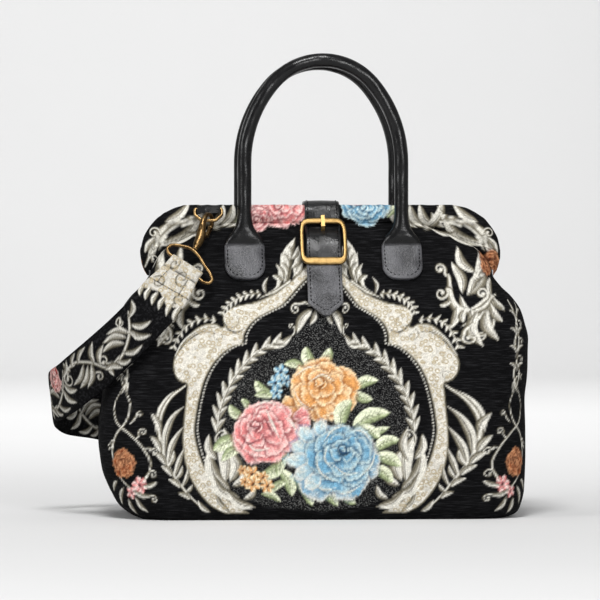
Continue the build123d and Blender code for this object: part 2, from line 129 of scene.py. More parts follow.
def make_piece(name, points, faces, material, smooth_faces=True):
    """A mesh object from points in millimetres and faces, at the origin, with its finish."""
    mesh = bpy.data.meshes.new(name)
    points = np.asarray(points, float).reshape(-1, 3) * MM
    faces = np.asarray(faces)
    sides = faces.shape[1]
    mesh.vertices.add(len(points))
    mesh.vertices.foreach_set("co", points.astype(np.float32).ravel())
    mesh.loops.add(faces.size)
    mesh.loops.foreach_set("vertex_index", faces.astype(np.int32).ravel())
    mesh.polygons.add(len(faces))
    mesh.polygons.foreach_set("loop_start", np.arange(0, faces.size, sides, dtype=np.int32))
    mesh.polygons.foreach_set("loop_total", np.full(len(faces), sides, dtype=np.int32))
    mesh.polygons.foreach_set("use_smooth", np.full(len(faces), smooth_faces))
    mesh.update(calc_edges=True)
    mesh.validate()
    mesh.materials.append(material)
    piece = bpy.data.objects.new(name, mesh)
    bpy.context.scene.collection.objects.link(piece)
    return piece


def give_colour(piece, name, values):
    """A four-channel value at each point of a piece, for its material to read."""
    layer = piece.data.attributes.new(name, "FLOAT_COLOR", "POINT")
    layer.data.foreach_set("color", np.asarray(values, np.float32).ravel())


def tube(path, across, up, profile, close_path=False, caps=True):
    """A profile carried along a path. path, across and up are n points and directions, and profile is n x m
    pairs, the place of each of the m points of the closed profile along across and up. Ends are closed to a
    middle point."""
    points = path[:, None, :] + across[:, None, :] * profile[..., :1] + up[:, None, :] * profile[..., 1:]
    rows, columns = profile.shape[:2]
    faces = grid_faces(rows, columns, close_path, True, False)
    points = points.reshape(-1, 3)
    if close_path or not caps:
        return points, faces
    start, end = points[:columns].mean(0), points[-columns:].mean(0)
    first = len(points)
    ring = np.arange(columns)
    after = (ring + 1) % columns
    low = np.stack([np.full(columns, first), after, ring, np.full(columns, first)], axis=1)
    last = (rows - 1) * columns
    high = np.stack([np.full(columns, first + 1), last + ring, last + after, np.full(columns, first + 1)],
                    axis=1)
    return np.vstack([points, start, end]), (faces, low[:, :3], high[:, :3])


def joined_faces(parts):
    """Grid faces and end fans as triangles and quads in one list of triangles."""
    faces, low, high = parts
    triangles = np.vstack([faces[:, [0, 1, 2]], faces[:, [0, 2, 3]], low, high])
    return triangles


def round_profile(half_width, half_thickness, count, power=2.0):
    """Closed profile of count points: an ellipse whose corners fill out as power rises above two."""
    turn = np.linspace(0, 2 * np.pi, count, endpoint=False)
    c, s = np.cos(turn), np.sin(turn)
    shape = np.stack([np.sign(c) * np.abs(c) ** (2 / power), np.sign(s) * np.abs(s) ** (2 / power)], axis=-1)
    sizes = np.stack([np.broadcast_to(half_width, np.shape(half_thickness)), half_thickness], axis=-1)
    return shape[None, :, :] * np.reshape(sizes, (-1, 1, 2))


# ---------------------------------------------------------------- thread colours
def thread(red, green, blue):
    """A thread colour given as 0 to 255 display values, as linear light."""
    value = np.array([red, green, blue], float) / 255
    return np.where(value <= 0.04045, value / 12.92, ((value + 0.055) / 1.055) ** 2.4)


GROUND = thread(8, 8, 9)
INNER_GROUND = thread(13, 13, 14)
CREAM, TAN, UMBER = thread(208, 205, 195), thread(122, 116, 100), thread(44, 41, 37)
BAND = thread(202, 198, 188)
SAGE, PALE_SAGE, DARK_SAGE = thread(160, 172, 130), thread(216, 220, 192), thread(88, 96, 66)
PINK, PALE_PINK, MAROON = thread(222, 134, 132), thread(238, 206, 200), thread(124, 62, 70)
ORANGE, PALE_ORANGE, RUST = thread(214, 154, 92), thread(234, 212, 174), thread(138, 82, 46)
BLUE, PALE_BLUE, NAVY = thread(112, 162, 190), thread(188, 206, 206), thread(44, 72, 98)
BROWN_ROSE, PALE_BROWN, DARK_BROWN = thread(160, 88, 52), thread(204, 148, 108), thread(74, 34, 26)
THREAD = 0.95


def lattice(x, z, seed):
    """Even noise from 0 to 1: a fixed mix of whole-number places, blended smoothly between them."""
    def corner(i, j):
        """The fixed value, 0 to 1, at one whole-number place."""
        value = np.sin(i * 127.1 + j * 311.7 + seed * 74.7) * 43758.5453
        return value - np.floor(value)
    i, j = np.floor(x), np.floor(z)
    u, v = smooth(0, 1, x - i), smooth(0, 1, z - j)
    low = corner(i, j) * (1 - u) + corner(i + 1, j) * u
    high = corner(i, j + 1) * (1 - u) + corner(i + 1, j + 1) * u
    return low * (1 - v) + high * v


class Cloth:
    """A woven picture. Every point of a cloth has a place in the picture, a thread colour and how far figures
    cover it; each figure is laid over those before it."""

    def __init__(self, across, up):
        self.across, self.up = across.ravel(), up.ravel()
        self.colour = np.tile(GROUND, (self.across.size, 1))
        self.cover = np.zeros(self.across.size)
        self.band = np.zeros(self.across.size)
        self.speck = np.zeros(self.across.size)
        self.side, self.askew = 1, False
        # the right half of the loom's repeat was sewn a little nearer the middle than the left half
        drift = table([0, 150, 175, 190, 205, 225, 245, 256], [11.5, 11.5, 8.0, 3.5, 2.5, 5.0, 5.0, 0.0],
                      self.up)
        self.sewn = self.across + drift * smooth(0, 34, self.across) * (1 - smooth(112, 160, self.across))
        coarse = lattice(self.across / 2.4, self.up / 1.5, 31)
        fine = lattice(self.across / 1.1 + 7, self.up, 37)
        self.grain = 0.72 + 0.3 * coarse + 0.26 * fine

    def near(self, low, high):
        """Which points lie in a box of the picture, and their places with the picture mirrored if side is
        -1."""
        x = (self.sewn if self.askew else self.across) * self.side
        where = np.nonzero((x > low[0]) & (x < high[0]) & (self.up > low[1]) & (self.up < high[1]))[0]
        return where, np.stack([x[where], self.up[where]], axis=1)

    def lay(self, where, inside, colour, raised=1.0):
        """Covers points whose distance inside a figure is above nought, with one thread's width of mixing at
        its edge."""
        share = np.clip(inside / THREAD + 0.5, 0, 1)
        self.colour[where] += (colour * self.grain[where, None] - self.colour[where]) * share[:, None]
        self.cover[where] += (raised - self.cover[where]) * share

    def stroke(self, points, widths, light, dark, lean=0.0, count=18):
        """A curved stroke of changing width: inside is half the width there less the distance to the curve;
        the colour goes from light on one side of the curve to dark on the other, and lean moves the
        middle."""
        path = through(points, count) if len(points) > 2 else np.linspace(points[0], points[-1], count)
        half = table(np.linspace(0, 1, len(widths)), widths, np.linspace(0, 1, count)) / 2
        reach = half.max() + 1
        where, place = self.near(path.min(0) - reach, path.max(0) + reach)
        if len(where) == 0:
            return
        run = path[1:] - path[:-1]
        length = np.maximum((run ** 2).sum(1), 1e-9)
        offset = place[:, None, :] - path[None, :-1, :]
        t = np.clip((offset * run).sum(2) / length, 0, 1)
        gap = offset - t[..., None] * run
        width = half[:-1] * (1 - t) + half[1:] * t
        inside = width - np.sqrt((gap ** 2).sum(2))
        best = inside.argmax(1)
        rows = np.arange(len(where))
        gap, run, width = gap[rows, best], run[best], width[rows, best]
        side = (run[:, 0] * gap[:, 1] - run[:, 1] * gap[:, 0]) / np.sqrt(length[best]) / np.maximum(width,
                                                                                                    0.4)
        share = np.clip(0.5 + 0.62 * side + lean, 0, 1)[:, None]
        low = dark * 0.35 + (dark * 0.65) * smooth(0, 0.42, share)
        tint = low + (light - low) * smooth(0.3, 0.72, share)
        hatch = np.sin((side * width) * 3.3 + 1.5 * t[rows, best] + best * 0.25) * smooth(0.9, 1.8, width)
        tint = tint * (1 - 0.16 * hatch[:, None])
        self.lay(where, inside[rows, best], tint)

    def leaf(self, base, tip, width, bend=0.15, light=CREAM, dark=TAN, rib=UMBER):
        """A pointed leaf: a stroke widest before its middle, bent sideways by a share of its length, with a
        dark rib."""
        base, tip = np.asarray(base, float), np.asarray(tip, float)
        run = tip - base
        middle = (base + tip) / 2 + bend * np.array([-run[1], run[0]])
        self.stroke([base, middle, tip], [0.5, width * 0.8, width, width * 0.72, 0.2], light, dark, 0.15)
        if width > 3:
            near_tip = middle + (tip - middle) * 0.62
            self.stroke([base, middle, near_tip], [0.7, 0.75, 0.3], rib, dark)

    def veined_leaf(self, base, tip, width, bend):
        """A broad sage leaf with side veins that run forward from its rib."""
        self.leaf(base, tip, width, bend, PALE_SAGE, SAGE, DARK_SAGE)
        base, tip = np.array(base, float), np.array(tip, float)
        run, across = tip - base, np.array([base[1] - tip[1], tip[0] - base[0]])
        for share in (0.26, 0.4, 0.54, 0.68):
            middle = base + run * share + across * bend * 0.8 * (1 - abs(2 * share - 1))
            for way in (1, -1):
                self.stroke([middle, middle + run * 0.16 + way * unit(across) * width * 0.34], [0.7, 0.35],
                            DARK_SAGE, SAGE, 0, 3)

    def volute(self, centre, radius, start, turns, width, light=CREAM, dark=TAN, lead=None):
        """A scroll: a stroke whose radius shrinks evenly over so many turns to a round bud; lead is where its
        stem begins."""
        along = np.linspace(0, 1, 12)
        angle = radians(start) + along * turns * 2 * np.pi
        size = radius * (1 - 0.78 * along)
        path = np.stack([centre[0] + size * np.cos(angle), centre[1] + size * np.sin(angle)], axis=1)
        if lead is not None:
            path = np.vstack([np.asarray(lead, float).reshape(-1, 2), path])
        self.stroke(path, [width * 0.5, width, width * 0.8, width * 0.55, width * 0.7], light, dark, 0.1, 34)
        self.stroke([path[-1], path[-1] + 0.1], [width * 1.1, width * 1.1], light, dark, 0.3, 2)

    def spray(self, stem, count, length, width, spread=38, bend=0.12, both=True, light=CREAM, dark=TAN,
              rib=UMBER, first=0.0):
        """Leaves in pairs along a stem, leaning forward by spread degrees; length is a table along the
        stem."""
        path = through(stem, 60)
        lengths = table(np.linspace(0, 1, len(length)), length, np.linspace(0, 1, count))
        for index, place in enumerate(np.linspace(first, 0.97, count)):
            at = int(place * 58)
            ahead = unit(path[at + 1] - path[at])
            for way in ((1, -1) if both else (1,)):
                turn = radians(spread) * way
                lean = np.array([ahead[0] * cos(turn) - ahead[1] * sin(turn),
                                 ahead[0] * sin(turn) + ahead[1] * cos(turn)])
                tip = path[at] + lean * lengths[index]
                self.leaf(path[at], tip, width * lengths[index] / max(length), -bend * way, light, dark, rib)
        self.stroke(stem, [1.2, 1.4, 0.8], light, dark)

    def patch(self, outline, colour, grow=0.0, mark=None, raised=1.0):
        """A closed figure: inside is the distance to its nearest edge, and an odd count of crossings tells in
        from out."""
        a = np.asarray(outline, float)
        b = np.roll(a, -1, axis=0)
        where, place = self.near(a.min(0) - 2 - grow, a.max(0) + 2 + grow)
        run = b - a
        offset = place[:, None, :] - a
        t = np.clip((offset * run).sum(2) / np.maximum((run ** 2).sum(1), 1e-9), 0, 1)
        distance = np.sqrt(((offset - t[..., None] * run) ** 2).sum(2)).min(1)
        x, z = place[:, :1], place[:, 1:]
        crosses = (a[:, 1] > z) != (b[:, 1] > z)
        rise = np.where(run[:, 1] == 0, 1e-9, run[:, 1])
        crosses &= x < a[:, 0] + run[:, 0] * (z - a[:, 1]) / rise
        inside = np.where(crosses.sum(1) % 2 == 1, distance, -distance) + grow
        if mark is not None:
            share = np.clip(inside / THREAD + 0.5, 0, 1)
            mark[where] = np.maximum(mark[where], share)
        if colour is not None:
            self.lay(where, inside, colour, raised)

    def dots(self, line, gap, size, colour):
        """Round stitches at even steps along a line."""
        length = np.linalg.norm(np.diff(np.asarray(line, float), axis=0), axis=1).sum()
        path = through(line, max(2, int(length / gap)))
        for place in path:
            where, near = self.near(place - size, place + size)
            inside = size / 2 - np.sqrt(((near - place) ** 2).sum(1))
            self.lay(where, inside, colour)

    def petal(self, base, tip, width, pale, middle, dark, seed, bare=0.5):
        """A rounded petal: an egg about the line from base to tip. Its threads run out from the base, dark at
        the foot, and pale along part of the rim; a dark line of shade lies on what is just outside."""
        base, tip = np.asarray(base, float), np.asarray(tip, float)
        length = np.linalg.norm(tip - base)
        ahead = (tip - base) / length
        middle_point = base + ahead * length * 0.5
        reach = max(length, width) * 0.62 + 2
        where, place = self.near(middle_point - reach, middle_point + reach)
        offset = place - middle_point
        along = (offset @ ahead) / (length * 0.5)
        half_width = width * 0.5 * (1 + 0.22 * np.clip(along, -1, 1))
        across = (offset[:, 1] * ahead[0] - offset[:, 0] * ahead[1]) / half_width
        turn = np.arctan2(across, along)
        radius = np.sqrt(along ** 2 + across ** 2)
        edge = 1 + 0.06 * np.sin(turn * 3 + seed) + 0.04 * np.sin(turn * 7 + 2 * seed)
        threads = lattice(across * width / 1.7 + 2 * along + seed, along * length / 7, seed)
        inside = (edge - radius) * min(length, width) * 0.5 + 1.5 * (threads - 0.5)
        fold = lattice(across * 2.2 + seed, along * 1.3, seed + 3)
        foot = smooth(0.55, -0.9, along + 0.5 * (threads - 0.5))[:, None]
        tint = middle * (1 - 0.62 * foot) + dark * 0.62 * foot
        bloom = (np.clip(fold * 1.3 - 0.35, 0, 0.6) * smooth(-0.6, 0.6, along)
                 * (0.15 + 1.1 * threads))[:, None]
        tint = tint + (pale - tint) * bloom
        rim = (smooth(1.2 + 2.2 * fold, 0.3, inside + 1.2 * (threads - 0.5))
               * smooth(bare - 0.7, bare + 0.1, along + 0.5 * fold))[:, None]
        tint = tint + (pale - tint) * rim * 0.92
        line = (smooth(0.30, 0.10, np.abs(threads - 0.28)) * 0.26)[:, None]
        tint = tint * (1 - line) + dark * line
        shade = (np.clip(1 - np.abs(inside + 0.9) / 1.5, 0, 1) * (inside < 0.4) * (0.28 + 0.5 * fold)
                 * (self.cover[where] > 0.4))[:, None]
        self.colour[where] += (dark * 0.8 - self.colour[where]) * shade
        self.lay(where, inside, tint)

    def rose(self, centre, size, turn, colours, heart=(0.0, 0.1), seed=1, outer=None):
        """A cabbage rose: three rings of petals laid from the outside in about an off-centre heart, then a
        dark heart with two small curled petals."""
        pale, middle, dark = colours
        outer = outer or colours
        size, centre = np.asarray(size, float), np.asarray(centre, float)
        core = centre + size * np.array(heart)
        rings = [(5, 0.22, 1.0, 0.98, outer), (5, 0.12, 0.84, 0.78, colours), (4, 0.04, 0.6, 0.66, colours),
                 (3, -0.04, 0.38, 0.46, colours)]
        for index, (count, start, reach, wide, tones) in enumerate(rings):
            for k in range(count):
                wobble = np.sin(seed * 3.1 + k * 2.3 + index * 1.7)
                angle = radians(turn) + 2 * np.pi * (k + 0.5 * (index % 2)) / count + 0.22 * wobble
                way = np.array([np.cos(angle), np.sin(angle)])
                middle_point = centre + (core - centre) * (1 - reach)
                far = middle_point + way * size * reach * (1 + 0.05 * wobble)
                near = middle_point + way * size * start
                self.petal(near, far, wide * size.mean() * (1 + 0.12 * wobble), *tones, seed + 5 * index + k,
                           0.2 + 0.25 * wobble)
        mean = size.mean()
        self.petal(core + [-0.02 * mean, -0.15 * mean], core + [0.02 * mean, 0.16 * mean], mean * 0.3, dark,
                   dark * 0.6 + middle * 0.4, dark * 0.5, seed)
        self.petal(core + [-0.13 * mean, -0.1 * mean], core + [0.04 * mean, 0.1 * mean], mean * 0.2, pale,
                   middle, dark, seed + 2, -0.5)
        self.stroke([core + [0.12 * mean, 0.1 * mean], core + [0.14 * mean, -0.06 * mean],
                     core + [0.02 * mean, -0.17 * mean]], [0.5, 2.0, 0.6], pale, middle)

    def blossom(self, centre, radius, petals, turn, colours):
        """A small flat flower: round petals about a dark eye."""
        pale, middle, dark = colours
        for k in range(petals):
            angle = radians(turn) + 2 * np.pi * k / petals
            way = np.array([cos(angle), sin(angle)])
            self.leaf(centre + way * radius * 0.2, centre + way * radius, radius * 0.72, 0.0, pale, middle,
                      dark)
        self.stroke([np.asarray(centre) - 0.3, np.asarray(centre) + 0.3], [radius * 0.42] * 2, dark, UMBER, 0,
                    2)


# ---------------------------------------------------------------- the woven picture
ARM = [(-8, 226), (-15.5, 220.5), (-28, 208), (-43, 197), (-61, 189.5), (-70, 187.5), (-77.5, 186.2),
       (-84, 182.5), (-88, 175.5), (-86.8, 168.5), (-88.5, 166.5), (-93, 169.4), (-100, 170.6), (-108, 168.6),
       (-117, 162), (-125, 152), (-130.5, 143), (-132.4, 134), (-130.5, 125), (-126.5, 119.8),
       (-120.6, 118.2), (-120.8, 108), (-121.8, 96), (-123.2, 82), (-124, 66), (-121.5, 46), (-117, 33),
       (-108.5, 19), (-98, 8), (-86, 2)]
INNER = [(-66, 2), (-77, 8), (-88, 16.5), (-98.5, 29.5), (-106, 44), (-111.5, 60), (-114.2, 76), (-113, 88),
         (-110, 104), (-104.3, 123), (-95.7, 137.5), (-84.5, 148), (-77, 151.8), (-71.5, 153), (-70.4, 160),
         (-66, 168.5), (-58, 176), (-47, 182), (-36.5, 187.5), (-28, 196.5), (-16, 209.5), (-8, 216)]


def weave_frame(cloth):
    """The cream scrolled frame round the bunch, one half: band, dotted line, scrolls, plume, vines and outer
    fronds."""
    ground = [(-2, 188), (-9, 180), (-22, 163), (-34, 155), (-52, 149), (-68, 137), (-82, 122), (-92, 104),
              (-96, 84), (-97, 62), (-92, 40), (-78, 20), (-52, 8), (0, 3), (4, 3), (4, 188)]
    cloth.patch(ground, INNER_GROUND, mark=cloth.speck, raised=0.0)
    outline = np.vstack([through(ARM, 90), through(INNER, 80)])
    cloth.patch(outline, TAN, grow=0.5)
    cloth.patch(outline, BAND, grow=-0.7, mark=cloth.band)
    cloth.dots(np.array(INNER[1:]) + np.array([3.0, 0.2]), 3.0, 1.5, CREAM)
    # scrolls where the arm turns into the two lobes
    cloth.volute((-79.5, 174.5), 8.6, 150, 0.95, 2.4, CREAM, TAN, [(-61, 188.5), (-72, 186.5), (-83, 182.5)])
    cloth.stroke([(-70, 166), (-77, 162.8), (-83.5, 165.5), (-87.6, 172)], [0.8, 1.8, 2.0, 1.0], TAN, UMBER)
    cloth.volute((-91.5, 160.5), 6.0, 95, 0.9, 2.0, CREAM, TAN,
                 [(-131, 142), (-124, 154.5), (-113, 163.5), (-101, 168)])
    cloth.stroke([(-130.8, 141), (-124.5, 151), (-115, 159.5), (-103, 164.5), (-95, 162)],
                 [0.7, 1.6, 1.8, 1.3, 0.6], TAN, UMBER)
    cloth.volute((-122.5, 125.5), 4.2, 250, 0.85, 1.7, CREAM, TAN,
                 [(-131.5, 134), (-130.4, 126), (-125.5, 121.2)])
    # plume beside the closing strap
    for base, tip, width, bend in [((-31, 207), (-24, 247.5), 11, 0.1), ((-33, 206), (-36.5, 234), 8, -0.12),
                                   ((-40, 204), (-38, 221), 5.6, -0.15), ((-24, 214), (-19, 236), 7, 0.0),
                                   ((-50, 197.5), (-48.5, 212), 3.4, 0.15),
                                   ((-50, 196.5), (-37, 209), 5, -0.2)]:
        cloth.leaf(base, tip, width, bend)
    for base, tip in [((-30, 214), (-37, 226)), ((-29, 221), (-35, 234)), ((-28, 228), (-31, 241)),
                      ((-27, 220), (-20, 232)), ((-27, 228), (-21, 240)), ((-34, 210), (-41, 224)),
                      ((-36, 208), (-44, 214)), ((-26, 212), (-17, 226))]:
        cloth.leaf(base, tip, 4.6, -0.12)
    cloth.stroke([(-31, 211), (-28.5, 224), (-26, 238)], [1.2, 1.0, 0.4], TAN, UMBER)
    cloth.stroke([(-29.5, 209), (-41, 201), (-55, 194.5)], [2.8, 2.2, 1.0], CREAM, TAN)
    # vines over the lobes
    for places in ([(-55, 197.5), (-63, 197.5), (-71, 195.5), (-78, 192), (-84.5, 187), (-89.5, 180)],
                   [(-95, 174), (-103, 175.5), (-111, 174.5), (-118.5, 171), (-124.5, 165.5), (-129.5, 158),
                    (-133, 149)]):
        cloth.spray(places, 8, [4.6, 5.6, 4.6], 2.9, 48, 0.1, True, CREAM, TAN, TAN)
    # fronds outside the lower band
    for path, width in [([(-143, 62), (-146, 84), (-138, 103), (-122, 115)], 6.8),
                        ([(-141, 52), (-139, 74), (-132, 89), (-123, 97)], 6.4),
                        ([(-138, 44), (-134, 62), (-128, 73), (-123.5, 79)], 5.8),
                        ([(-132, 34), (-127.5, 48), (-123, 60)], 5),
                        ([(-125, 25), (-120.5, 34), (-119, 44)], 4)]:
        cloth.stroke(path, [1.2, width * 0.8, width, width * 0.65, 0.5], CREAM, TAN, 0.18)
        cloth.stroke(path, [0.3, 1.0, 0.9, 0.3], TAN, UMBER)
    cloth.stroke([(-122, 116), (-135, 106), (-143.5, 92), (-146, 74), (-142.5, 56), (-134, 38), (-121, 20),
                  (-107, 6)], [1.4, 2.6, 3.0, 3.0, 2.6, 2.2, 1.2], CREAM, TAN, 0.1, 30)
    for base, tip, width in [((-144, 73), (-152.4, 91), 6.2), ((-143.5, 56), (-153.2, 71), 6.2),
                             ((-139, 45), (-149.5, 56.5), 5.6), ((-133, 35), (-143.5, 44.5), 5.2),
                             ((-126, 25), (-137, 32.5), 4.8), ((-117, 14.5), (-128.5, 20), 4.6),
                             ((-137, 43), (-132, 58), 4.4), ((-130, 32), (-124.5, 44), 4),
                             ((-122, 20), (-115.5, 27), 3.6)]:
        cloth.leaf(base, tip, width, -0.1)
    # ribbon end at the foot of the band
    cloth.leaf((-82, 2), (-97, 25), 8, 0.15)
    cloth.leaf((-70, 3), (-88, 16), 6, -0.2)
    cloth.leaf((-100, 3), (-111, 13), 4.6, 0.1)


def weave_wreath(cloth):
    """Inside the frame, one half: scrolls under the strap's tip, the laurel stem and the acanthus at its
    foot."""
    cloth.volute((-23.5, 184), 5.4, 60, 1.1, 2.3, CREAM, TAN, [(-10, 187), (-15, 190)])
    cloth.leaf((-9, 184), (-22.5, 162.5), 8.5, -0.12)
    cloth.leaf((-6, 183), (-11, 170), 5, 0.1)
    cloth.volute((-27.5, 169.5), 2.8, -20, -0.85, 1.6, CREAM, TAN, [(-29, 158.5), (-25, 162)])
    cloth.leaf((-27, 160.5), (-48.5, 150), 6.2, 0.12)
    laurel = [(-40, 155), (-56, 147), (-70, 134), (-80, 120), (-87.5, 105), (-92, 90), (-94, 74)]
    cloth.spray(laurel[::-1], 10, [14.5, 15.5, 15, 13], 5.4, 26, 0.1)
    # acanthus, a broad leaf curling over at its top
    for base, tip, width, bend in [((-82, 22), (-102, 58), 13, 0.14), ((-86, 30), (-93, 70), 14, -0.1),
                                   ((-82, 30), (-82, 58), 11, -0.2), ((-94, 50), (-101, 72), 8, 0.16),
                                   ((-88, 48), (-88, 78), 8, -0.16), ((-80, 26), (-68, 42), 8, -0.2),
                                   ((-74, 16), (-99, 38), 10, 0.2), ((-60, 7), (-86, 22), 8.5, 0.14),
                                   ((-70, 14), (-60, 26), 6, -0.2)]:
        cloth.leaf(base, tip, width, bend)
    cloth.volute((-88.5, 71.5), 3.6, 110, -0.8, 2.0, CREAM, TAN, [(-94, 62), (-94.5, 70)])


def weave_upper_scroll(cloth):
    """The branching scroll beside the frame's shoulder, one half."""
    cloth.leaf((132, 196), (146, 235), 15, -0.16)
    cloth.leaf((128, 198), (121, 226), 9, -0.1)
    cloth.leaf((134, 198), (150, 215), 7, 0.2)
    cloth.volute((110, 219.5), 5.8, -40, 1.05, 3.4, CREAM, TAN, [(117.6, 206), (117.5, 212)])
    cloth.volute((145, 160), 5.2, 200, 1.0, 2.6, CREAM, TAN, [(152, 186), (154, 172), (150, 162)])
    for base, tip, width, bend in [((146, 196), (132, 168), 6, 0.18), ((150, 194), (144, 172), 5, 0.14),
                                   ((126, 196), (138, 180), 5, -0.14), ((150, 200), (166, 182), 6, -0.14),
                                   ((142, 214), (150, 244), 7, -0.14), ((140, 216), (126, 240), 8, 0.16)]:
        cloth.leaf(base, tip, width, bend)
    body = [(116.5, 214), (116.5, 202), (119, 191), (126, 183.5), (137, 181), (147, 185.5), (153, 194),
            (158, 197)]
    cloth.stroke(body, [2.4, 5.0, 6.4, 6.2, 5.4, 3.8, 1.0], CREAM, TAN, 0.05, 34)
    cloth.volute((109.5, 198), 6.0, 40, -1.1, 3.2, CREAM, TAN, [(120, 197), (117, 202)])
    cloth.volute((144, 197.5), 6.8, -70, 1.1, 4.0, CREAM, TAN, [(134, 181.5), (142, 187)])
    for base, tip, width, bend in [((124, 186), (124.5, 166), 7, 0.12), ((119, 192), (109, 187), 4.6, 0.1),
                                   ((131, 183), (133, 172), 5.6, -0.1), ((136, 183), (133, 160), 7.5, 0.2),
                                   ((141, 182), (147, 150), 8.5, -0.16), ((148, 184), (159, 155), 8.5, -0.16),
                                   ((151, 188), (163, 172), 7.0, -0.12), ((154, 193), (166, 184), 5.4, -0.1),
                                   ((152, 196), (156, 212), 6, 0.14)]:
        cloth.leaf(base, tip, width, bend)
    cloth.volute((139.5, 157.5), 5.6, 150, 1.0, 3.0, CREAM, TAN, [(140, 172), (134.5, 163)])


def weave_side(cloth):
    """The slim panel that runs round the corner, one half: outlined pear shape, rust rose, small flowers and
    curls."""
    pear = [(178, 112), (172, 98), (176, 84), (188, 70), (192, 52), (184, 34), (172, 24), (160, 21)]
    cloth.stroke(pear, [0.8, 1.6, 1.9, 1.9, 1.6, 1.2], CREAM, TAN, 0.1, 34)
    other = [(182, 112), (190, 98), (187, 84), (172, 72), (160, 60), (153, 46), (156, 34), (166, 26)]
    cloth.stroke(other, [0.8, 1.5, 1.9, 1.9, 1.6, 1.2], CREAM, TAN, 0.1, 34)
    cloth.rose((180, 46), (12, 14), 20, (PALE_BROWN, BROWN_ROSE, DARK_BROWN), seed=5)
    cloth.blossom((163, 27), 7.5, 6, 10, (PALE_PINK, PINK, MAROON))
    cloth.blossom((172, 20), 5.5, 5, 40, (PALE_PINK, PINK, MAROON))
    for centre, radius, start, turns, lead in [((160, 74), 4.6, -30, 0.95, [(168, 68), (165, 70)]),
                                               ((150, 56), 4.2, 30, 0.95, [(158, 60), (154, 60)]),
                                               ((151, 36), 4.4, 60, 0.9, [(160, 30), (155, 38)]),
                                               ((196, 60), 4, 190, -0.9, [(190, 66), (193, 66)]),
                                               ((163, 90), 3.2, 0, 0.85, [(172, 82), (167, 88)]),
                                               ((150, 14), 3.6, 90, 0.9, [(160, 18), (154, 18)])]:
        cloth.volute(centre, radius, start, turns, 1.7, CREAM, TAN, lead)
    for base, tip, width in [((170, 22), (152, 17), 4.6), ((168, 16), (156, 3), 4.6),
                             ((176, 14), (170, 1), 5), ((181, 24), (188, 8), 5), ((176, 108), (181, 124), 4),
                             ((183, 108), (178, 124), 3.4), ((160, 26), (147, 30), 4.4),
                             ((188, 30), (198, 20), 4.4)]:
        cloth.leaf(base, tip, width, 0.1)
    # the slim upright ornament above
    upright = [(180, 112), (176, 126), (181, 140), (177, 154), (181, 168), (178, 182), (172, 192)]
    cloth.stroke(upright, [1.0, 2.2, 1.4, 2.4, 1.4, 2.2, 1.0], CREAM, TAN, 0.1, 30)
    mirrored = [(180, 112), (184, 126), (179, 140), (183, 154), (179, 168), (183, 180), (186, 190)]
    cloth.stroke(mirrored, [1.0, 2.0, 1.2, 2.2, 1.2, 2.0, 1.0], CREAM, TAN, 0.1, 30)
    for z in (128, 144, 160, 176):
        cloth.leaf((180, z), (171, z + 7), 3.2, -0.2)
        cloth.leaf((181, z), (190, z + 7), 3.2, 0.2)
        cloth.volute((187, z - 6), 2.4, 90, -0.8, 1.3, CREAM, TAN, [(181, z - 2), (184, z - 3)])


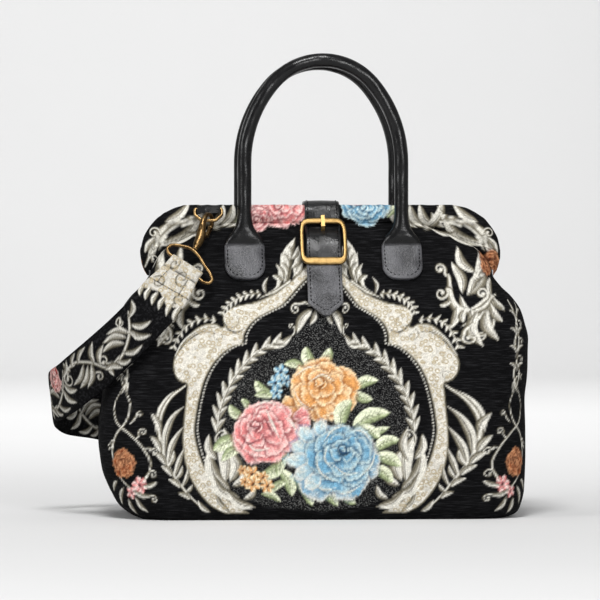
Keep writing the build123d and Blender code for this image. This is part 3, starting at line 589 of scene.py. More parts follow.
def weave_bunch(cloth):
    """The bunch in the middle: leaves first, then the small flowers and the three roses."""
    leaves = [((-7, 132), (-15, 150), 11, 0.12), ((-3, 133), (7, 149), 10, -0.12),
              ((-16, 131), (-34, 135), 8, -0.12), ((-46, 108), (-60, 120), 9, 0.12),
              ((-44, 106), (-60, 107), 7, -0.1), ((28, 112), (50, 120), 10, 0.14),
              ((28, 110), (45, 103), 9, -0.12), ((46, 57), (69, 67), 11, 0.14),
              ((46, 52), (71, 43), 12, 0.12), ((44, 42), (63, 29), 11, 0.12), ((40, 64), (60, 78), 8, 0.12),
              ((-72, 66), (-97, 58), 14, -0.12), ((-70, 60), (-90, 48), 9, -0.14),
              ((-70, 87), (-83, 98), 9, 0.12), ((-66, 94), (-72, 104), 6, -0.12),
              ((-34, 51), (-57, 34), 12, 0.14), ((-37, 40), (-27, 17), 12, 0.12),
              ((-25, 34), (-9, 8), 13, 0.12), ((-32, 30), (-46, 20), 7, -0.12), ((-3, 20), (14, 8), 9, 0.12),
              ((18, 20), (30, 10), 7, -0.12), ((-54, 19), (-37, 12), 6, 0.12),
              ((-30, 56), (-40, 34), 9, -0.1)]
    for base, tip, width, bend in leaves:
        cloth.veined_leaf(base, tip, width, bend)
    blues, oranges = (PALE_BLUE, BLUE, NAVY), (PALE_ORANGE, ORANGE, RUST)
    for x, z, radius, turn in [(-37, 128, 6.5, 10), (-42, 118, 6.5, 40), (-32, 120, 5, 0),
                               (-41, 109, 5.5, 20)]:
        cloth.blossom(np.array([x, z]), radius, 5, turn, blues)
    for x, z, radius, turn in [(-63, 37, 7, 0), (-62, 28, 7, 30), (-49, 26, 6, 60), (-53, 34, 5, 15),
                               (-71, 40, 4.5, 0), (-69, 30, 4.5, 40)]:
        cloth.blossom(np.array([x, z]), radius, 6, turn, oranges)
    for base, tip in [((-20, 98), (-36, 100)), ((-16, 92), (-32, 89)), ((-12, 92), (-22, 80))]:
        cloth.petal(base, tip, 14, PALE_ORANGE, ORANGE, RUST, 4)
    cloth.rose((1, 111), (33, 27), 24, oranges, (-0.08, 0.26), 2)
    for path in ([(-24, 124), (-14, 131), (-4, 133)], [(-26, 112), (-20, 101), (-8, 93)],
                 [(4, 90), (16, 92), (26, 100)], [(-10, 120), (0, 125), (10, 120)]):
        cloth.stroke(path, [0.6, 1.8, 0.6], CREAM, PALE_ORANGE)
    for base, tip, width, bend in [((16, 78), (26, 103), 14, 0.14), ((27, 78), (61, 91), 14, 0.12),
                                   ((29, 76), (52, 69), 11, 0.12)]:
        cloth.veined_leaf(base, tip, width, bend)
    for base, tip in [((-26, 86), (-12, 92)), ((-24, 80), (-10, 82))]:
        cloth.petal(base, tip, 12, PALE_PINK, PINK, MAROON, 6, -0.3)
    cloth.rose((-50, 74), (31, 28), 65, (PALE_PINK, PINK, MAROON), (-0.28, 0.2), 3)
    for path, widths in (([(-50, 94), (-46, 84), (-38, 68)], [0.8, 2.8, 0.8]),
                         ([(-68, 66), (-60, 58), (-46, 60)], [0.8, 2.2, 0.8]),
                         ([(-62, 96), (-50, 101), (-40, 98)], [0.6, 2.0, 0.6]),
                         ([(-34, 88), (-26, 80), (-22, 72)], [0.6, 2.2, 0.6])):
        cloth.stroke(path, widths, CREAM, PALE_PINK)
    for path in ([(-66, 84), (-62, 79), (-54, 80)], [(-72, 70), (-66, 64), (-56, 68)],
                 [(-52, 88), (-47, 78), (-42, 70)]):
        cloth.stroke(path, [0.5, 1.9, 0.5], MAROON, MAROON)
    cloth.rose((10, 47), (42, 33), 10, blues, (0.2, 0.3), 4, (CREAM, BLUE, NAVY))
    for base, tip in [((-10, 58), (-27, 62)), ((-12, 50), (-32, 48)), ((-8, 66), (-20, 77)),
                      ((0, 70), (-3, 84)), ((-6, 44), (-24, 34)), ((-2, 36), (-14, 24))]:
        cloth.petal(base, tip, 13, CREAM, PALE_BLUE, BLUE, 8, -0.3)
    cloth.rose((17, 55), (30, 26), 30, blues, (0.06, 0.1), 7)
    for path in ([(2, 66), (10, 76), (22, 80)], [(-6, 52), (-2, 38), (10, 30)],
                 [(34, 34), (44, 44), (48, 58)], [(10, 44), (22, 36), (34, 38)],
                 [(-10, 30), (2, 22), (12, 24)], [(14, 18), (24, 20), (34, 26)], [(4, 60), (2, 50), (8, 42)],
                 [(24, 76), (36, 74), (44, 64)]):
        cloth.stroke(path, [0.6, 1.9, 0.6], CREAM, PALE_BLUE)
    cloth.stroke([(14, 60), (18, 55), (25, 56)], [1.0, 4.0, 1.0], NAVY, NAVY)


def weave_top(cloth):
    """The strip of the picture that shows on the mouth casings: two roses between scrolled leaves."""
    for side in (1, -1):
        cloth.side = side
        for x in (62, 70, 79, 88):
            cloth.leaf((x + 12, 258), (x, 278), 8, 0.15, CREAM, TAN)
            cloth.leaf((x + 10, 270), (x + 22, 257), 6, -0.15, CREAM, TAN)
        cloth.leaf((92, 254), (110, 282), 9, -0.12)
        for base, tip, width, bend in [((150, 240), (104, 276), 9, 0.16), ((146, 236), (122, 270), 8, -0.14),
                                       ((150, 232), (136, 262), 7, -0.16), ((152, 226), (146, 252), 6, -0.12),
                                       ((140, 262), (118, 279), 8, 0.1), ((128, 258), (104, 262), 6, -0.12),
                                       ((122, 252), (98, 256), 4.4, 0.1), ((148, 248), (158, 234), 5, 0.1)]:
            cloth.leaf(base, tip, width, bend)
        cloth.volute((150, 252), 4.4, 120, -0.9, 2.2, CREAM, TAN, [(144, 240), (144, 248)])
        cloth.stroke([(158, 222), (152, 236), (140, 252), (122, 264), (104, 270)], [1.6, 3.2, 3.4, 2.4, 1.0],
                     CREAM, TAN, 0.1, 24)
        cloth.volute((150, 228), 4.6, 30, 1.0, 1.8, CREAM, TAN, [(146, 240), (153, 236)])
    cloth.side = 1
    cloth.rose((152, 225), (8, 11), 0, (PALE_BROWN, BROWN_ROSE, DARK_BROWN), seed=6)
    cloth.leaf((-66, 268), (-78, 262), 6, 0.1, PALE_SAGE, SAGE, DARK_SAGE)
    cloth.leaf((58, 266), (70, 276), 7, 0.1, PALE_SAGE, SAGE, DARK_SAGE)
    cloth.rose((-38, 279), (27, 22), 40, (PALE_PINK, PINK, MAROON), (0, -0.1), 8)
    cloth.rose((-58, 264), (13, 11), 10, (PALE_PINK, PINK, MAROON), (0, 0), 9)
    cloth.rose((38, 277), (22, 19), 60, (PALE_BLUE, BLUE, NAVY), (0, -0.1), 10)


def weave(cloth):
    """The whole picture.  What is given for one half is laid on both."""
    cloth.askew = True
    for side in (1, -1):
        cloth.side = side
        weave_frame(cloth)
        weave_wreath(cloth)
        weave_upper_scroll(cloth)
        weave_side(cloth)
    cloth.side, cloth.askew = 1, False
    weave_top(cloth)
    weave_bunch(cloth)


def paint(piece, cloth):
    """Gives a piece its cloth: thread colour with its cover, and the two special grounds."""
    count = cloth.across.size
    give_colour(piece, "thread", np.column_stack([cloth.colour, cloth.cover]))
    give_colour(piece, "ground", np.column_stack([cloth.band, cloth.speck, np.zeros(count), np.ones(count)]))


# ---------------------------------------------------------------- finishes
class Finish:
    """A material and short ways to add and join its nodes."""

    def __init__(self, name):
        self.material = bpy.data.materials.new(name)
        self.material.use_nodes = True
        self.tree = self.material.node_tree
        self.shader = self.tree.nodes["Principled BSDF"]
        self.place = self.tree.nodes.new("ShaderNodeTexCoord").outputs["Object"]

    def add(self, kind, settings=None, **inputs):
        """A new node; settings are its own properties, and inputs are socket values or outputs to join, by
        name or number."""
        new = self.tree.nodes.new("ShaderNode" + kind)
        for name, value in (settings or {}).items():
            setattr(new, name, value)
        for name, value in inputs.items():
            numbered = name[0] == "n" and name[1:].isdigit()
            self.put(new.inputs[int(name[1:]) if numbered else name.replace("_", " ")], value)
        return new

    def put(self, socket, value):
        """Joins an output to a socket, or sets the socket's own value."""
        if isinstance(value, bpy.types.NodeSocket):
            self.tree.links.new(value, socket)
        else:
            socket.default_value = value

    def math(self, operation, a, b=0.0, c=0.0):
        """A value from two or three others."""
        return self.add("Math", {"operation": operation}, n0=a, n1=b, n2=c).outputs[0]

    def rise(self, value, low, high, out_low=0.0, out_high=1.0):
        """An even change from out_low at low to out_high at high, held beyond them."""
        ranged = self.add("MapRange", {"clamp": True}, n0=value, n1=low, n2=high, n3=out_low, n4=out_high)
        return ranged.outputs[0]

    def stretched(self, scale, turn=(0.0, 0.0, 0.0)):
        """Object places scaled along each axis, in patterns per metre."""
        return self.add("Mapping", n0=self.place, Rotation=turn, Scale=scale).outputs[0]

    def noise(self, scale, size=1.0, detail=3.0, roughness=0.55):
        """Cloudy noise over the stretched places."""
        made = self.add("TexNoise", Vector=self.stretched(scale), Scale=size, Detail=detail,
                        Roughness=roughness)
        return made.outputs[0]

    def mix(self, share, a, b, blend="MIX"):
        """Colour a where share is 0, colour b where it is 1."""
        made = self.add("Mix", {"data_type": "RGBA", "blend_type": blend})
        for socket, value in zip((made.inputs[0], made.inputs[6], made.inputs[7]), (share, a, b)):
            self.put(socket, value)
        return made.outputs[2]

    def attribute(self, name):
        """What the piece's points carry under this name."""
        return self.add("Attribute", {"attribute_name": name})

    def bump(self, height, distance, strength=1.0, under=None):
        """Relief in the shading, laid over another relief where one is given."""
        made = self.add("Bump", Height=height, Distance=distance, Strength=strength)
        if under is not None:
            self.put(made.inputs["Normal"], under)
        return made.outputs[0]

    def shade(self, **sockets):
        """Sets the shader's sockets by name, with spaces written as underscores."""
        for name, value in sockets.items():
            self.put(self.shader.inputs[name.replace("_", " ")], value)
        return self.material


def rgba(colour, share=1.0):
    """A colour with its fourth channel."""
    return (*[float(c) for c in colour], share)


def tapestry(name, strip=False):
    """Woven chenille: thread colour from the cloth, mottled rings on the cream band, specks on the inner
    ground, fine rows of thread across, and figures that stand a little proud of the ground."""
    f = Finish(name)
    threads, ground = f.attribute("thread"), f.attribute("ground")
    cover = threads.outputs["Alpha"]
    marks = f.add("SeparateColor", n0=ground.outputs["Color"])
    band, speck = marks.outputs[0], marks.outputs[1]
    rows = f.noise((70, 70, 1500) if not strip else (420, 420, 420), 1.0, 2.0, 0.6)
    flecks = f.noise((900, 900, 1300), 1.0, 1.0, 0.5)
    # rings on the band
    cells = f.add("TexVoronoi", {"feature": "F1"}, Vector=f.stretched((200, 200, 200)), Scale=1.0,
                  Randomness=0.9)
    ring = f.math("ABSOLUTE", f.math("SUBTRACT", cells.outputs["Distance"], 0.37))
    ring = f.rise(ring, 0.06, 0.19, 1.0, 0.0)
    ring = f.math("MULTIPLY", f.math("MULTIPLY", ring, band), f.rise(rows, 0.3, 0.6, 0.4, 0.85))
    colour = f.mix(ring, threads.outputs["Color"], rgba(thread(160, 146, 116)))
    # specks on the inner ground
    grain = f.rise(f.noise((900, 900, 1150), 1.0, 1.0), 0.52, 0.66)
    bare = f.math("SUBTRACT", 1.0, cover)
    grain = f.math("MULTIPLY", f.math("MULTIPLY", grain, speck), bare)
    colour = f.mix(f.math("MULTIPLY", grain, 0.6), colour, rgba(thread(112, 112, 110)))
    # rows of pile on the bare ground, and stitches on the figures
    line = f.rise(rows, 0.50, 0.74, 0.0, 0.5)
    line = f.math("MULTIPLY", f.math("MULTIPLY", line, bare), f.math("SUBTRACT", 1.0, speck))
    colour = f.mix(line, colour, rgba(thread(50, 50, 52)))
    stitch = f.rise(flecks, 0.3, 0.7, 0.74, 1.16)
    tint = f.add("CombineXYZ", n0=stitch, n1=stitch, n2=stitch).outputs[0]
    colour = f.mix(cover, colour, f.mix(1.0, colour, tint, "MULTIPLY"))
    relief = f.math("ADD", f.math("MULTIPLY", cover, 0.8), f.math("MULTIPLY", flecks, 0.7))
    relief = f.math("ADD", relief, f.math("MULTIPLY", rows, 0.35))
    normal = f.bump(relief, 0.0011, 0.75)
    return f.shade(Base_Color=colour, Roughness=0.95, Specular_IOR_Level=0.06, Normal=normal)


def leather(name, gloss=0.33, level=0.42, depth=0.0003, rubbed_and_sheen_below=None, painted_sheen_tone=(60, 59, 64)):
    """Black leather: fine pebbled grain, faint swells and a soft gloss. Below a height, where it lies flat
    and is rubbed, it is rougher and more deeply grained, and its colour is a painted grey sheen with flecks."""
    f = Finish(name)
    cells = f.add("TexVoronoi", {"feature": "F1"}, Vector=f.stretched((900, 900, 900)), Scale=1.0,
                  Randomness=1.0)
    cloud = f.noise((120, 120, 120), 1.0, 4.0)
    broad = f.noise((46, 46, 34), 1.0, 1.0)
    relief = f.math("ADD", cells.outputs["Distance"], f.math("MULTIPLY", cloud, 0.8))
    rough = f.rise(cloud, 0.3, 0.7, gloss - 0.04, gloss + 0.05)
    colour = f.mix(f.rise(cloud, 0.35, 0.7), rgba(thread(6, 6, 7)), rgba(thread(14, 14, 15)))
    if rubbed_and_sheen_below is not None:
        # below the given height: rougher, deeper grain, and a painted grey sheen laid into the colour
        height = f.add("SeparateXYZ", n0=f.place).outputs[2]
        rubbed_and_sheen = f.rise(height, (rubbed_and_sheen_below - 1) * MM, (rubbed_and_sheen_below + 3) * MM, 1.0, 0.0)
        relief = f.math("MULTIPLY", relief, f.rise(rubbed_and_sheen, 0.0, 1.0, 1.0, 3.0))
        rough = f.math("ADD", rough, f.math("MULTIPLY", rubbed_and_sheen, 0.12))
        # flecked grey colour: painted sheen that stands in for the lamps' broad reflection on the flat leather
        sparkle = f.rise(f.math("ADD", broad, f.math("MULTIPLY", cells.outputs["Distance"], 0.35)), 0.5, 0.86,
                         0.12, 1.25)
        colour = f.mix(f.math("MULTIPLY", rubbed_and_sheen, sparkle), colour, rgba(thread(*painted_sheen_tone)))
    swell = f.bump(broad, 0.0034, 1.0)
    return f.shade(Base_Color=colour, Roughness=rough, Specular_IOR_Level=level,
                   Normal=f.bump(relief, depth, 0.7, swell))


def stitch_thread(name, tone=(14, 14, 15)):
    """Waxed thread with a fine twist."""
    f = Finish(name)
    twist = f.add("TexWave", {"wave_type": "BANDS", "bands_direction": "DIAGONAL"},
                  Vector=f.stretched((900, 900, 900)), Scale=1.0)
    colour = f.mix(twist.outputs["Fac"], rgba(thread(*tone)), rgba(thread(*[c + 10 for c in tone])))
    return f.shade(Base_Color=colour, Roughness=0.85, Specular_IOR_Level=0.08)


def metal(name, bright, dark, rough, wear=0.5):
    """Worn metal: bright where it rubs, darker in the hollows, with fine scratches."""
    f = Finish(name)
    cloud = f.noise((160, 160, 160), 1.0, 5.0, 0.65)
    scratch = f.noise((2600, 300, 1400), 1.0, 2.0, 0.5)
    edge = f.add("NewGeometry").outputs["Pointiness"]
    worn = f.rise(edge, 0.47, 0.54)
    worn = f.math("ADD", f.math("MULTIPLY", worn, wear), f.rise(cloud, 0.3, 0.75, 0.0, 1.0 - wear * 0.5))
    colour = f.mix(f.math("MINIMUM", worn, 1.0), rgba(dark), rgba(bright))
    roughness = f.rise(f.math("ADD", cloud, f.math("MULTIPLY", scratch, 0.5)), 0.5, 1.0, rough - 0.08,
                       rough + 0.12)
    return f.shade(Base_Color=colour, Metallic=1.0, Roughness=roughness, Normal=f.bump(scratch, 0.0001, 0.35))


def plain_cloth(name, tone, weave_size=1300):
    """Plain woven cloth: two crossing sets of fine threads."""
    f = Finish(name)
    over = f.add("TexWave", {"bands_direction": "X"}, Vector=f.stretched((weave_size,) * 3),
                 Scale=0.5).outputs["Fac"]
    under = f.add("TexWave", {"bands_direction": "Z"}, Vector=f.stretched((weave_size,) * 3),
                  Scale=0.5).outputs["Fac"]
    weave_height = f.math("MULTIPLY", over, under)
    cloud = f.noise((60, 60, 60), 1.0, 4.0)
    colour = f.mix(f.rise(cloud, 0.3, 0.7), rgba(thread(*tone)),
                   rgba(thread(*[int(c * 1.35) + 6 for c in tone])))
    return f.shade(Base_Color=colour, Roughness=0.85, Specular_IOR_Level=0.2,
                   Normal=f.bump(weave_height, 0.0004, 0.6))


def board_finish(name):
    """Grey fibre board, flecked."""
    f = Finish(name)
    fleck = f.noise((700, 700, 700), 1.0, 4.0)
    colour = f.mix(f.rise(fleck, 0.35, 0.65), rgba(thread(92, 84, 72)), rgba(thread(140, 130, 112)))
    return f.shade(Base_Color=colour, Roughness=0.9, Normal=f.bump(fleck, 0.0004, 0.5))


BODY_CLOTH = tapestry("tapestry_cloth")
STRAP_CLOTH = tapestry("strap_tapestry_cloth", strip=True)
LINING = plain_cloth("lining_cloth", (34, 30, 34))
BOARD = board_finish("base_board_fibre")
# the last two values of the first two: the height below which a painted grey sheen is laid, and its colour
LEATHER = leather("black_leather", 0.3, 0.42, 0.00022, 223, (84, 84, 87))
HANDLE_LEATHER = leather("handle_leather", 0.24, 0.3, 0.0001, 240, (74, 74, 77))
TAB_PATENT = leather("ring_tab_leather", 0.12, 0.7, 0.00006)
STITCHES = stitch_thread("black_thread", (3, 3, 4))
BRASS = metal("antique_brass", thread(158, 130, 88), thread(70, 52, 30), 0.3)
BUCKLE_BRASS = metal("buckle_brass", thread(146, 120, 76), thread(70, 54, 30), 0.34)
STEEL = metal("frame_steel", thread(150, 150, 152), thread(84, 84, 88), 0.4)
SNAP_STEEL = metal("snap_steel", thread(196, 196, 198), thread(120, 120, 124), 0.25)
CORD = plain_cloth("core_cord", (190, 180, 160), 900)


# ---------------------------------------------------------------- the bag's shell
YAW = 4.0
VIEW_DISTANCE = 3600
VIEW_HEIGHT = 236
FRONT_PLANE = 18

SHELL_Z = [0, 2.7, 6, 12.5, 24, 42, 65, 80, 102.7, 123, 146, 158, 171.4, 183, 194.6, 204.5, 214, 219, 228,
           237.5, 247.3, 254, 258.7]
RIGHT_X = [161, 169, 172.5, 175.3, 178, 179, 179.4, 179.6, 179.2, 181.6, 183.4, 184.2, 181.5, 178, 170, 160.2,
           153.4, 152.6, 148, 140.2, 122.3, 107, 94]
LEFT_X = [163, 169.5, 175, 182.5, 189, 195.5, 198.4, 198.4, 195.4, 193.2, 190.5, 188, 183.5, 178, 170, 160.2,
          153.4, 152.6, 148, 140.2, 122.3, 107, 94]
DEPTH_Z = [0, 4, 10, 45, 100, 150, 180, 200, 214, 222, 240, 258.7]
DEPTH_Y = [81, 85.5, 88, 89.5, 85, 74, 63, 51.8, 44, 39.5, 29.5, 19]
CORNER_R = [34, 38, 42, 46, 48, 46, 40, 32, 26, 24, 20, 14]


def wall(side, inset, sizes, base=0.0):
    """Half of the bag's shell, front (side -1) or back (side 1): at each height a level section made of the
    left wall, a round corner, the flat face, the other corner and the right wall; width, depth and corner
    follow the height. Above the seam's height the cloth curls in under the mouth casing. Gives places and the
    picture's across and up."""
    rows, wall_columns, corner_columns, face_columns = sizes
    height = np.linspace(base, 258.7, rows)
    left = table(SHELL_Z, LEFT_X, height) - inset
    right = table(SHELL_Z, RIGHT_X, height) - inset
    depth = table(DEPTH_Z, DEPTH_Y, height) - inset
    curl = np.linspace(0, 1, 7)[1:]
    height = np.concatenate([height, 258.7 + 2.2 * np.sin(curl * np.pi / 2)])
    left = np.concatenate([left, left[-1] - 3 * curl])
    right = np.concatenate([right, right[-1] - 3 * curl])
    depth = np.concatenate([depth, depth[-1] - 9 * (1 - np.cos(curl * np.pi / 2))])
    reach = table([0, 205, 214, 222, 240, 262], [0, 0, 0.8, 3, 8, 9.3], height)
    corner = np.minimum(table(DEPTH_Z, CORNER_R, height), depth - reach - 0.5)
    t = np.linspace(0, 1, wall_columns, endpoint=False)
    turn = np.linspace(0, np.pi / 2, corner_columns, endpoint=False)
    across = np.linspace(0, 1, face_columns)
    column = [a[:, None] for a in (left, right, depth, reach, corner)]
    left, right, depth, reach, corner = column
    wall_length = depth - corner - reach
    arc = corner * np.pi / 2
    # left wall, left corner, face, right corner, right wall
    x = [np.broadcast_to(-left, (len(height), wall_columns)), -left + corner * (1 - np.cos(turn))]
    y = [reach + wall_length * t, depth - corner + corner * np.sin(turn)]
    s = [-(left - corner) - arc - wall_length * (1 - t), -(left - corner) - arc + corner * turn]
    face = -(left - corner) + (left + right - 2 * corner) * across
    x.append(face)
    y.append(np.broadcast_to(depth, face.shape))
    s.append(face)
    turn_right = np.pi / 2 - turn - (np.pi / 2) / corner_columns
    x.append(right - corner * (1 - np.cos(turn_right)))
    y.append(depth - corner + corner * np.sin(turn_right))
    s.append((right - corner) + arc - corner * turn_right)
    t_right = 1 - (np.arange(wall_columns) + 1) / wall_columns
    x.append(np.broadcast_to(right, (len(height), wall_columns)))
    y.append(reach + wall_length * t_right)
    s.append((right - corner) + arc + wall_length * (1 - t_right))
    x, y, s = np.hstack(x), np.hstack(y), np.hstack(s)
    z = np.broadcast_to(height[:, None], x.shape).copy()
    scale = VIEW_DISTANCE / (VIEW_DISTANCE + FRONT_PLANE - depth)
    shown = (s * cos(radians(YAW)) + (depth - FRONT_PLANE) * sin(radians(YAW))) * scale
    up = VIEW_HEIGHT + (z - VIEW_HEIGHT) * scale
    if side > 0:
        shown = -shown
    points = np.stack([x, y * side, z], axis=-1)
    return soften(points, side), shown, up


def soften(points, side):
    """Slack in the cloth: slow waves over the face, and small upright gathers that fade away below the
    casing."""
    x, y, z = points[..., 0], points[..., 1], points[..., 2]
    slow = lattice(x / 62 + 3, z / 48 + y / 90, 3) - 0.5
    quick = lattice(x / 21 + 9, z / 26 + y / 40, 5) - 0.5
    hold = smooth(0, 14, z) * smooth(259, 246, z)
    gather = np.sin(x * 0.42 + 2.2 * lattice(x / 30, z / 60, 7)) * smooth(228, 250, z) * smooth(262, 254, z)
    pinch = np.exp(-((z - 216) / 15) ** 2) * smooth(110, 150, np.abs(x))
    amount = (1.9 * slow + 0.8 * quick) * hold + 0.35 * gather
    fold = 1.6 * np.sin((z - 0.6 * np.abs(x)) * 0.34) * pinch
    moved = points.copy()
    moved[..., 1] += side * (amount + fold) * smooth(0, 30, np.abs(y))
    moved[..., 0] += np.sign(x) * (0.9 * quick * hold) * smooth(120, 165, np.abs(x))
    return moved


def sew_wall(name, side):
    """Front or back tapestry, with its picture."""
    points, across, up = wall(side, 0.0, WALL_GRID)
    rows, columns = across.shape
    piece = make_piece(name, points, grid_faces(rows, columns, False, False, side > 0), BODY_CLOTH)
    cloth = Cloth(across, up)
    weave(cloth)
    paint(piece, cloth)
    return piece


def sew_lining(name, side):
    """Front or back lining, one cloth's thickness inside the shell."""
    points, across, _ = wall(side, 3.0, LINING_GRID, 4.5)
    rows, columns = across.shape
    piece = make_piece(name, points, grid_faces(rows, columns, False, False, side < 0), LINING)
    return piece


def sew_base():
    """The base: the shell's lowest outline, and rings of the same shape drawn in to a flat middle, each ring a
    share of the outline's size."""
    front = wall(-1, 0.0, WALL_GRID)[0][0]
    back = wall(1, 0.0, WALL_GRID)[0][0]
    outline = np.vstack([front[::4], back[::-4][1:-1]])
    shares = np.array([1.0, 0.985, 0.95, 0.8, 0.6, 0.4, 0.2])
    rings = outline[None, :, :] * shares[:, None, None]
    rings[..., 2] = BASE_HEIGHT
    rings[0, :, 2] = outline[:, 2]
    rows, columns = rings.shape[:2]
    faces = grid_faces(rows, columns, False, True, True)
    faces = halved(faces)
    last = (rows - 1) * columns + np.arange(columns)
    fan = np.stack([last, np.full(columns, rows * columns), np.roll(last, -1)], axis=1)
    points = np.vstack([rings.reshape(-1, 3), [[0, 0, BASE_HEIGHT]]])
    piece = make_piece("base_cloth", points, np.vstack([faces, fan[:, ::-1]]), BODY_CLOTH)
    cloth = Cloth(points[:, 0], points[:, 1] - 400)
    paint(piece, cloth)
    return piece


# ---------------------------------------------------------------- mouth casings
def casing_path(count):
    """Centre line of a casing: up from the hinge, round one corner, across and down the other side, evenly
    spread."""
    corner_radius, half_span, foot = 38, 153, 214
    turn = np.linspace(0, np.pi / 2, 30)
    straight = CASING_Z - corner_radius
    lower = np.stack([np.full(8, -half_span), np.linspace(foot, straight, 8, endpoint=False)], axis=1)
    bend = np.stack([-half_span + corner_radius * (1 - np.cos(turn)),
                     straight + corner_radius * np.sin(turn)], axis=1)
    left = np.vstack([lower, bend])
    points = np.vstack([left, [[-60, CASING_Z], [0, CASING_Z], [60, CASING_Z]], left[::-1] * [-1, 1]])
    steps = np.linalg.norm(np.diff(points, axis=0), axis=1)
    knots = np.concatenate([[0], np.cumsum(steps)])
    at = np.linspace(0, knots[-1], count)
    return np.stack([np.interp(at, knots, points[:, k]) for k in range(2)], axis=1)


def sew_casing(name, side):
    """A casing: a round tube of cloth along the bar that thins towards the hinges and widens inwards at the
    top corners, with soft gathers."""
    path = casing_path(560)
    ahead = unit(np.gradient(path, axis=0))
    outward = np.stack([-ahead[:, 1], ahead[:, 0]], axis=1)
    rise = path[:, 1]
    radius = table([214, 219, 226, 236, 250, 268], [2.2, 5.0, 7.2, 8.6, 9, 9], rise)
    extra = table([60, 94, 107, 115, 128, 142, 150.7, 152.4, 153],
                  [0.3, 1.2, 6.0, 9.0, 11.3, 10.9, 6.0, 3.6, 0.0], np.abs(path[:, 0]))
    count = 60
    turn = np.linspace(0, 2 * np.pi, count, endpoint=False)
    out, depth = np.cos(turn), np.sin(turn)
    inner = np.where(out < 0, 1, 0)[None, :]
    spread = radius[:, None] + inner * extra[:, None]
    along = np.arange(len(path))[:, None] * 0.9
    uneven = lattice(along / 7, turn[None, :] * 2.2 + 20 * side, 11) - 0.5
    ripple = 0.45 * uneven * np.minimum(radius, 6)[:, None] / 3
    across = (spread + ripple) * out[None, :]
    front = (radius[:, None] + ripple) * depth[None, :]
    x = path[:, :1] + outward[:, :1] * across
    z = path[:, 1:] + outward[:, 1:] * across
    y = side * CASING_Y + front
    points = np.stack([x, y, z], axis=-1)
    rows = len(path)
    faces = grid_faces(rows, count, False, True, False)
    faces = halved(faces)
    ring = np.arange(count)
    first, last = rows * count, rows * count + 1
    low = np.stack([np.full(count, first), np.roll(ring, -1), ring], axis=1)
    top = (rows - 1) * count
    high = np.stack([np.full(count, last), top + ring, top + np.roll(ring, -1)], axis=1)
    flat = np.vstack([points.reshape(-1, 3), points[0].mean(0), points[-1].mean(0)])
    piece = make_piece(name, flat, np.vstack([faces, low, high]), BODY_CLOTH)
    cloth = Cloth(flat[:, 0] * (1 if side < 0 else -1), flat[:, 2])
    cloth.side = 1
    weave_top(cloth)
    paint(piece, cloth)
    return piece


# ---------------------------------------------------------------- leather
def stitch_line(name, path, way_up, length, gap, width, material, body):
    """A row of stitches along a path: each is a short six-sided bead that stands half proud of the
    leather."""
    steps = np.linalg.norm(np.diff(path, axis=0), axis=1)
    knots = np.concatenate([[0], np.cumsum(steps)])
    starts = np.arange(gap / 2, knots[-1] - length, length + gap)
    sample = np.linspace(0, 1, 4)
    at = (starts[:, None] + length * sample[None, :]).ravel()
    centre = np.stack([np.interp(at, knots, path[:, k]) for k in range(3)], axis=1).reshape(-1, 4, 3)
    up = np.stack([np.interp(at, knots, way_up[:, k]) for k in range(3)], axis=1).reshape(-1, 4, 3)
    up = unit(up)
    ahead = unit(centre[:, -1:] - centre[:, :1])
    side = unit(np.cross(ahead, up))
    size = width / 2 * np.array([0.55, 1.0, 1.0, 0.55])
    angle = np.linspace(0, 2 * np.pi, 6, endpoint=False)
    cosine, sine = (part[None, None, :, None] for part in (np.cos(angle), np.sin(angle)))
    reach = size[None, :, None, None]
    ring = centre[:, :, None, :] + (side[:, :, None, :] * cosine * reach + up[:, :, None, :] * sine * reach)
    count = len(starts)
    grid = grid_faces(4, 6, False, True, False)
    grid = halved(grid)
    caps = np.array([[0, 2, 1], [0, 3, 2], [0, 4, 3], [0, 5, 4]])
    one = np.vstack([grid, caps, (18 + caps)[:, ::-1]])
    faces = (one[None, :, :] + np.arange(count)[:, None, None] * 24).reshape(-1, 3)
    piece = make_piece(name, ring.reshape(-1, 3), faces, material)
    return finish_ride(piece, body)


def finish_ride(piece, body, replaces=()):
    """Fixes a piece to its body and hides the frame's nodes that it stands for."""
    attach(piece, body)
    if replaces:
        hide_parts(*replaces)
    return piece


SLOPE_UP = np.array([0.0, 0.488, 0.873])
SLOPE_OUT = np.array([0.0, -0.873, 0.488])


def slope_place(x, z, lift):
    """A point on the front slope of the shell at a height z, lifted off the cloth."""
    depth = 19 + (258.7 - z) * 0.559
    return np.stack([x + 0 * z, -depth + 0 * z, z], axis=-1) + SLOPE_OUT * np.asarray(lift)[..., None]


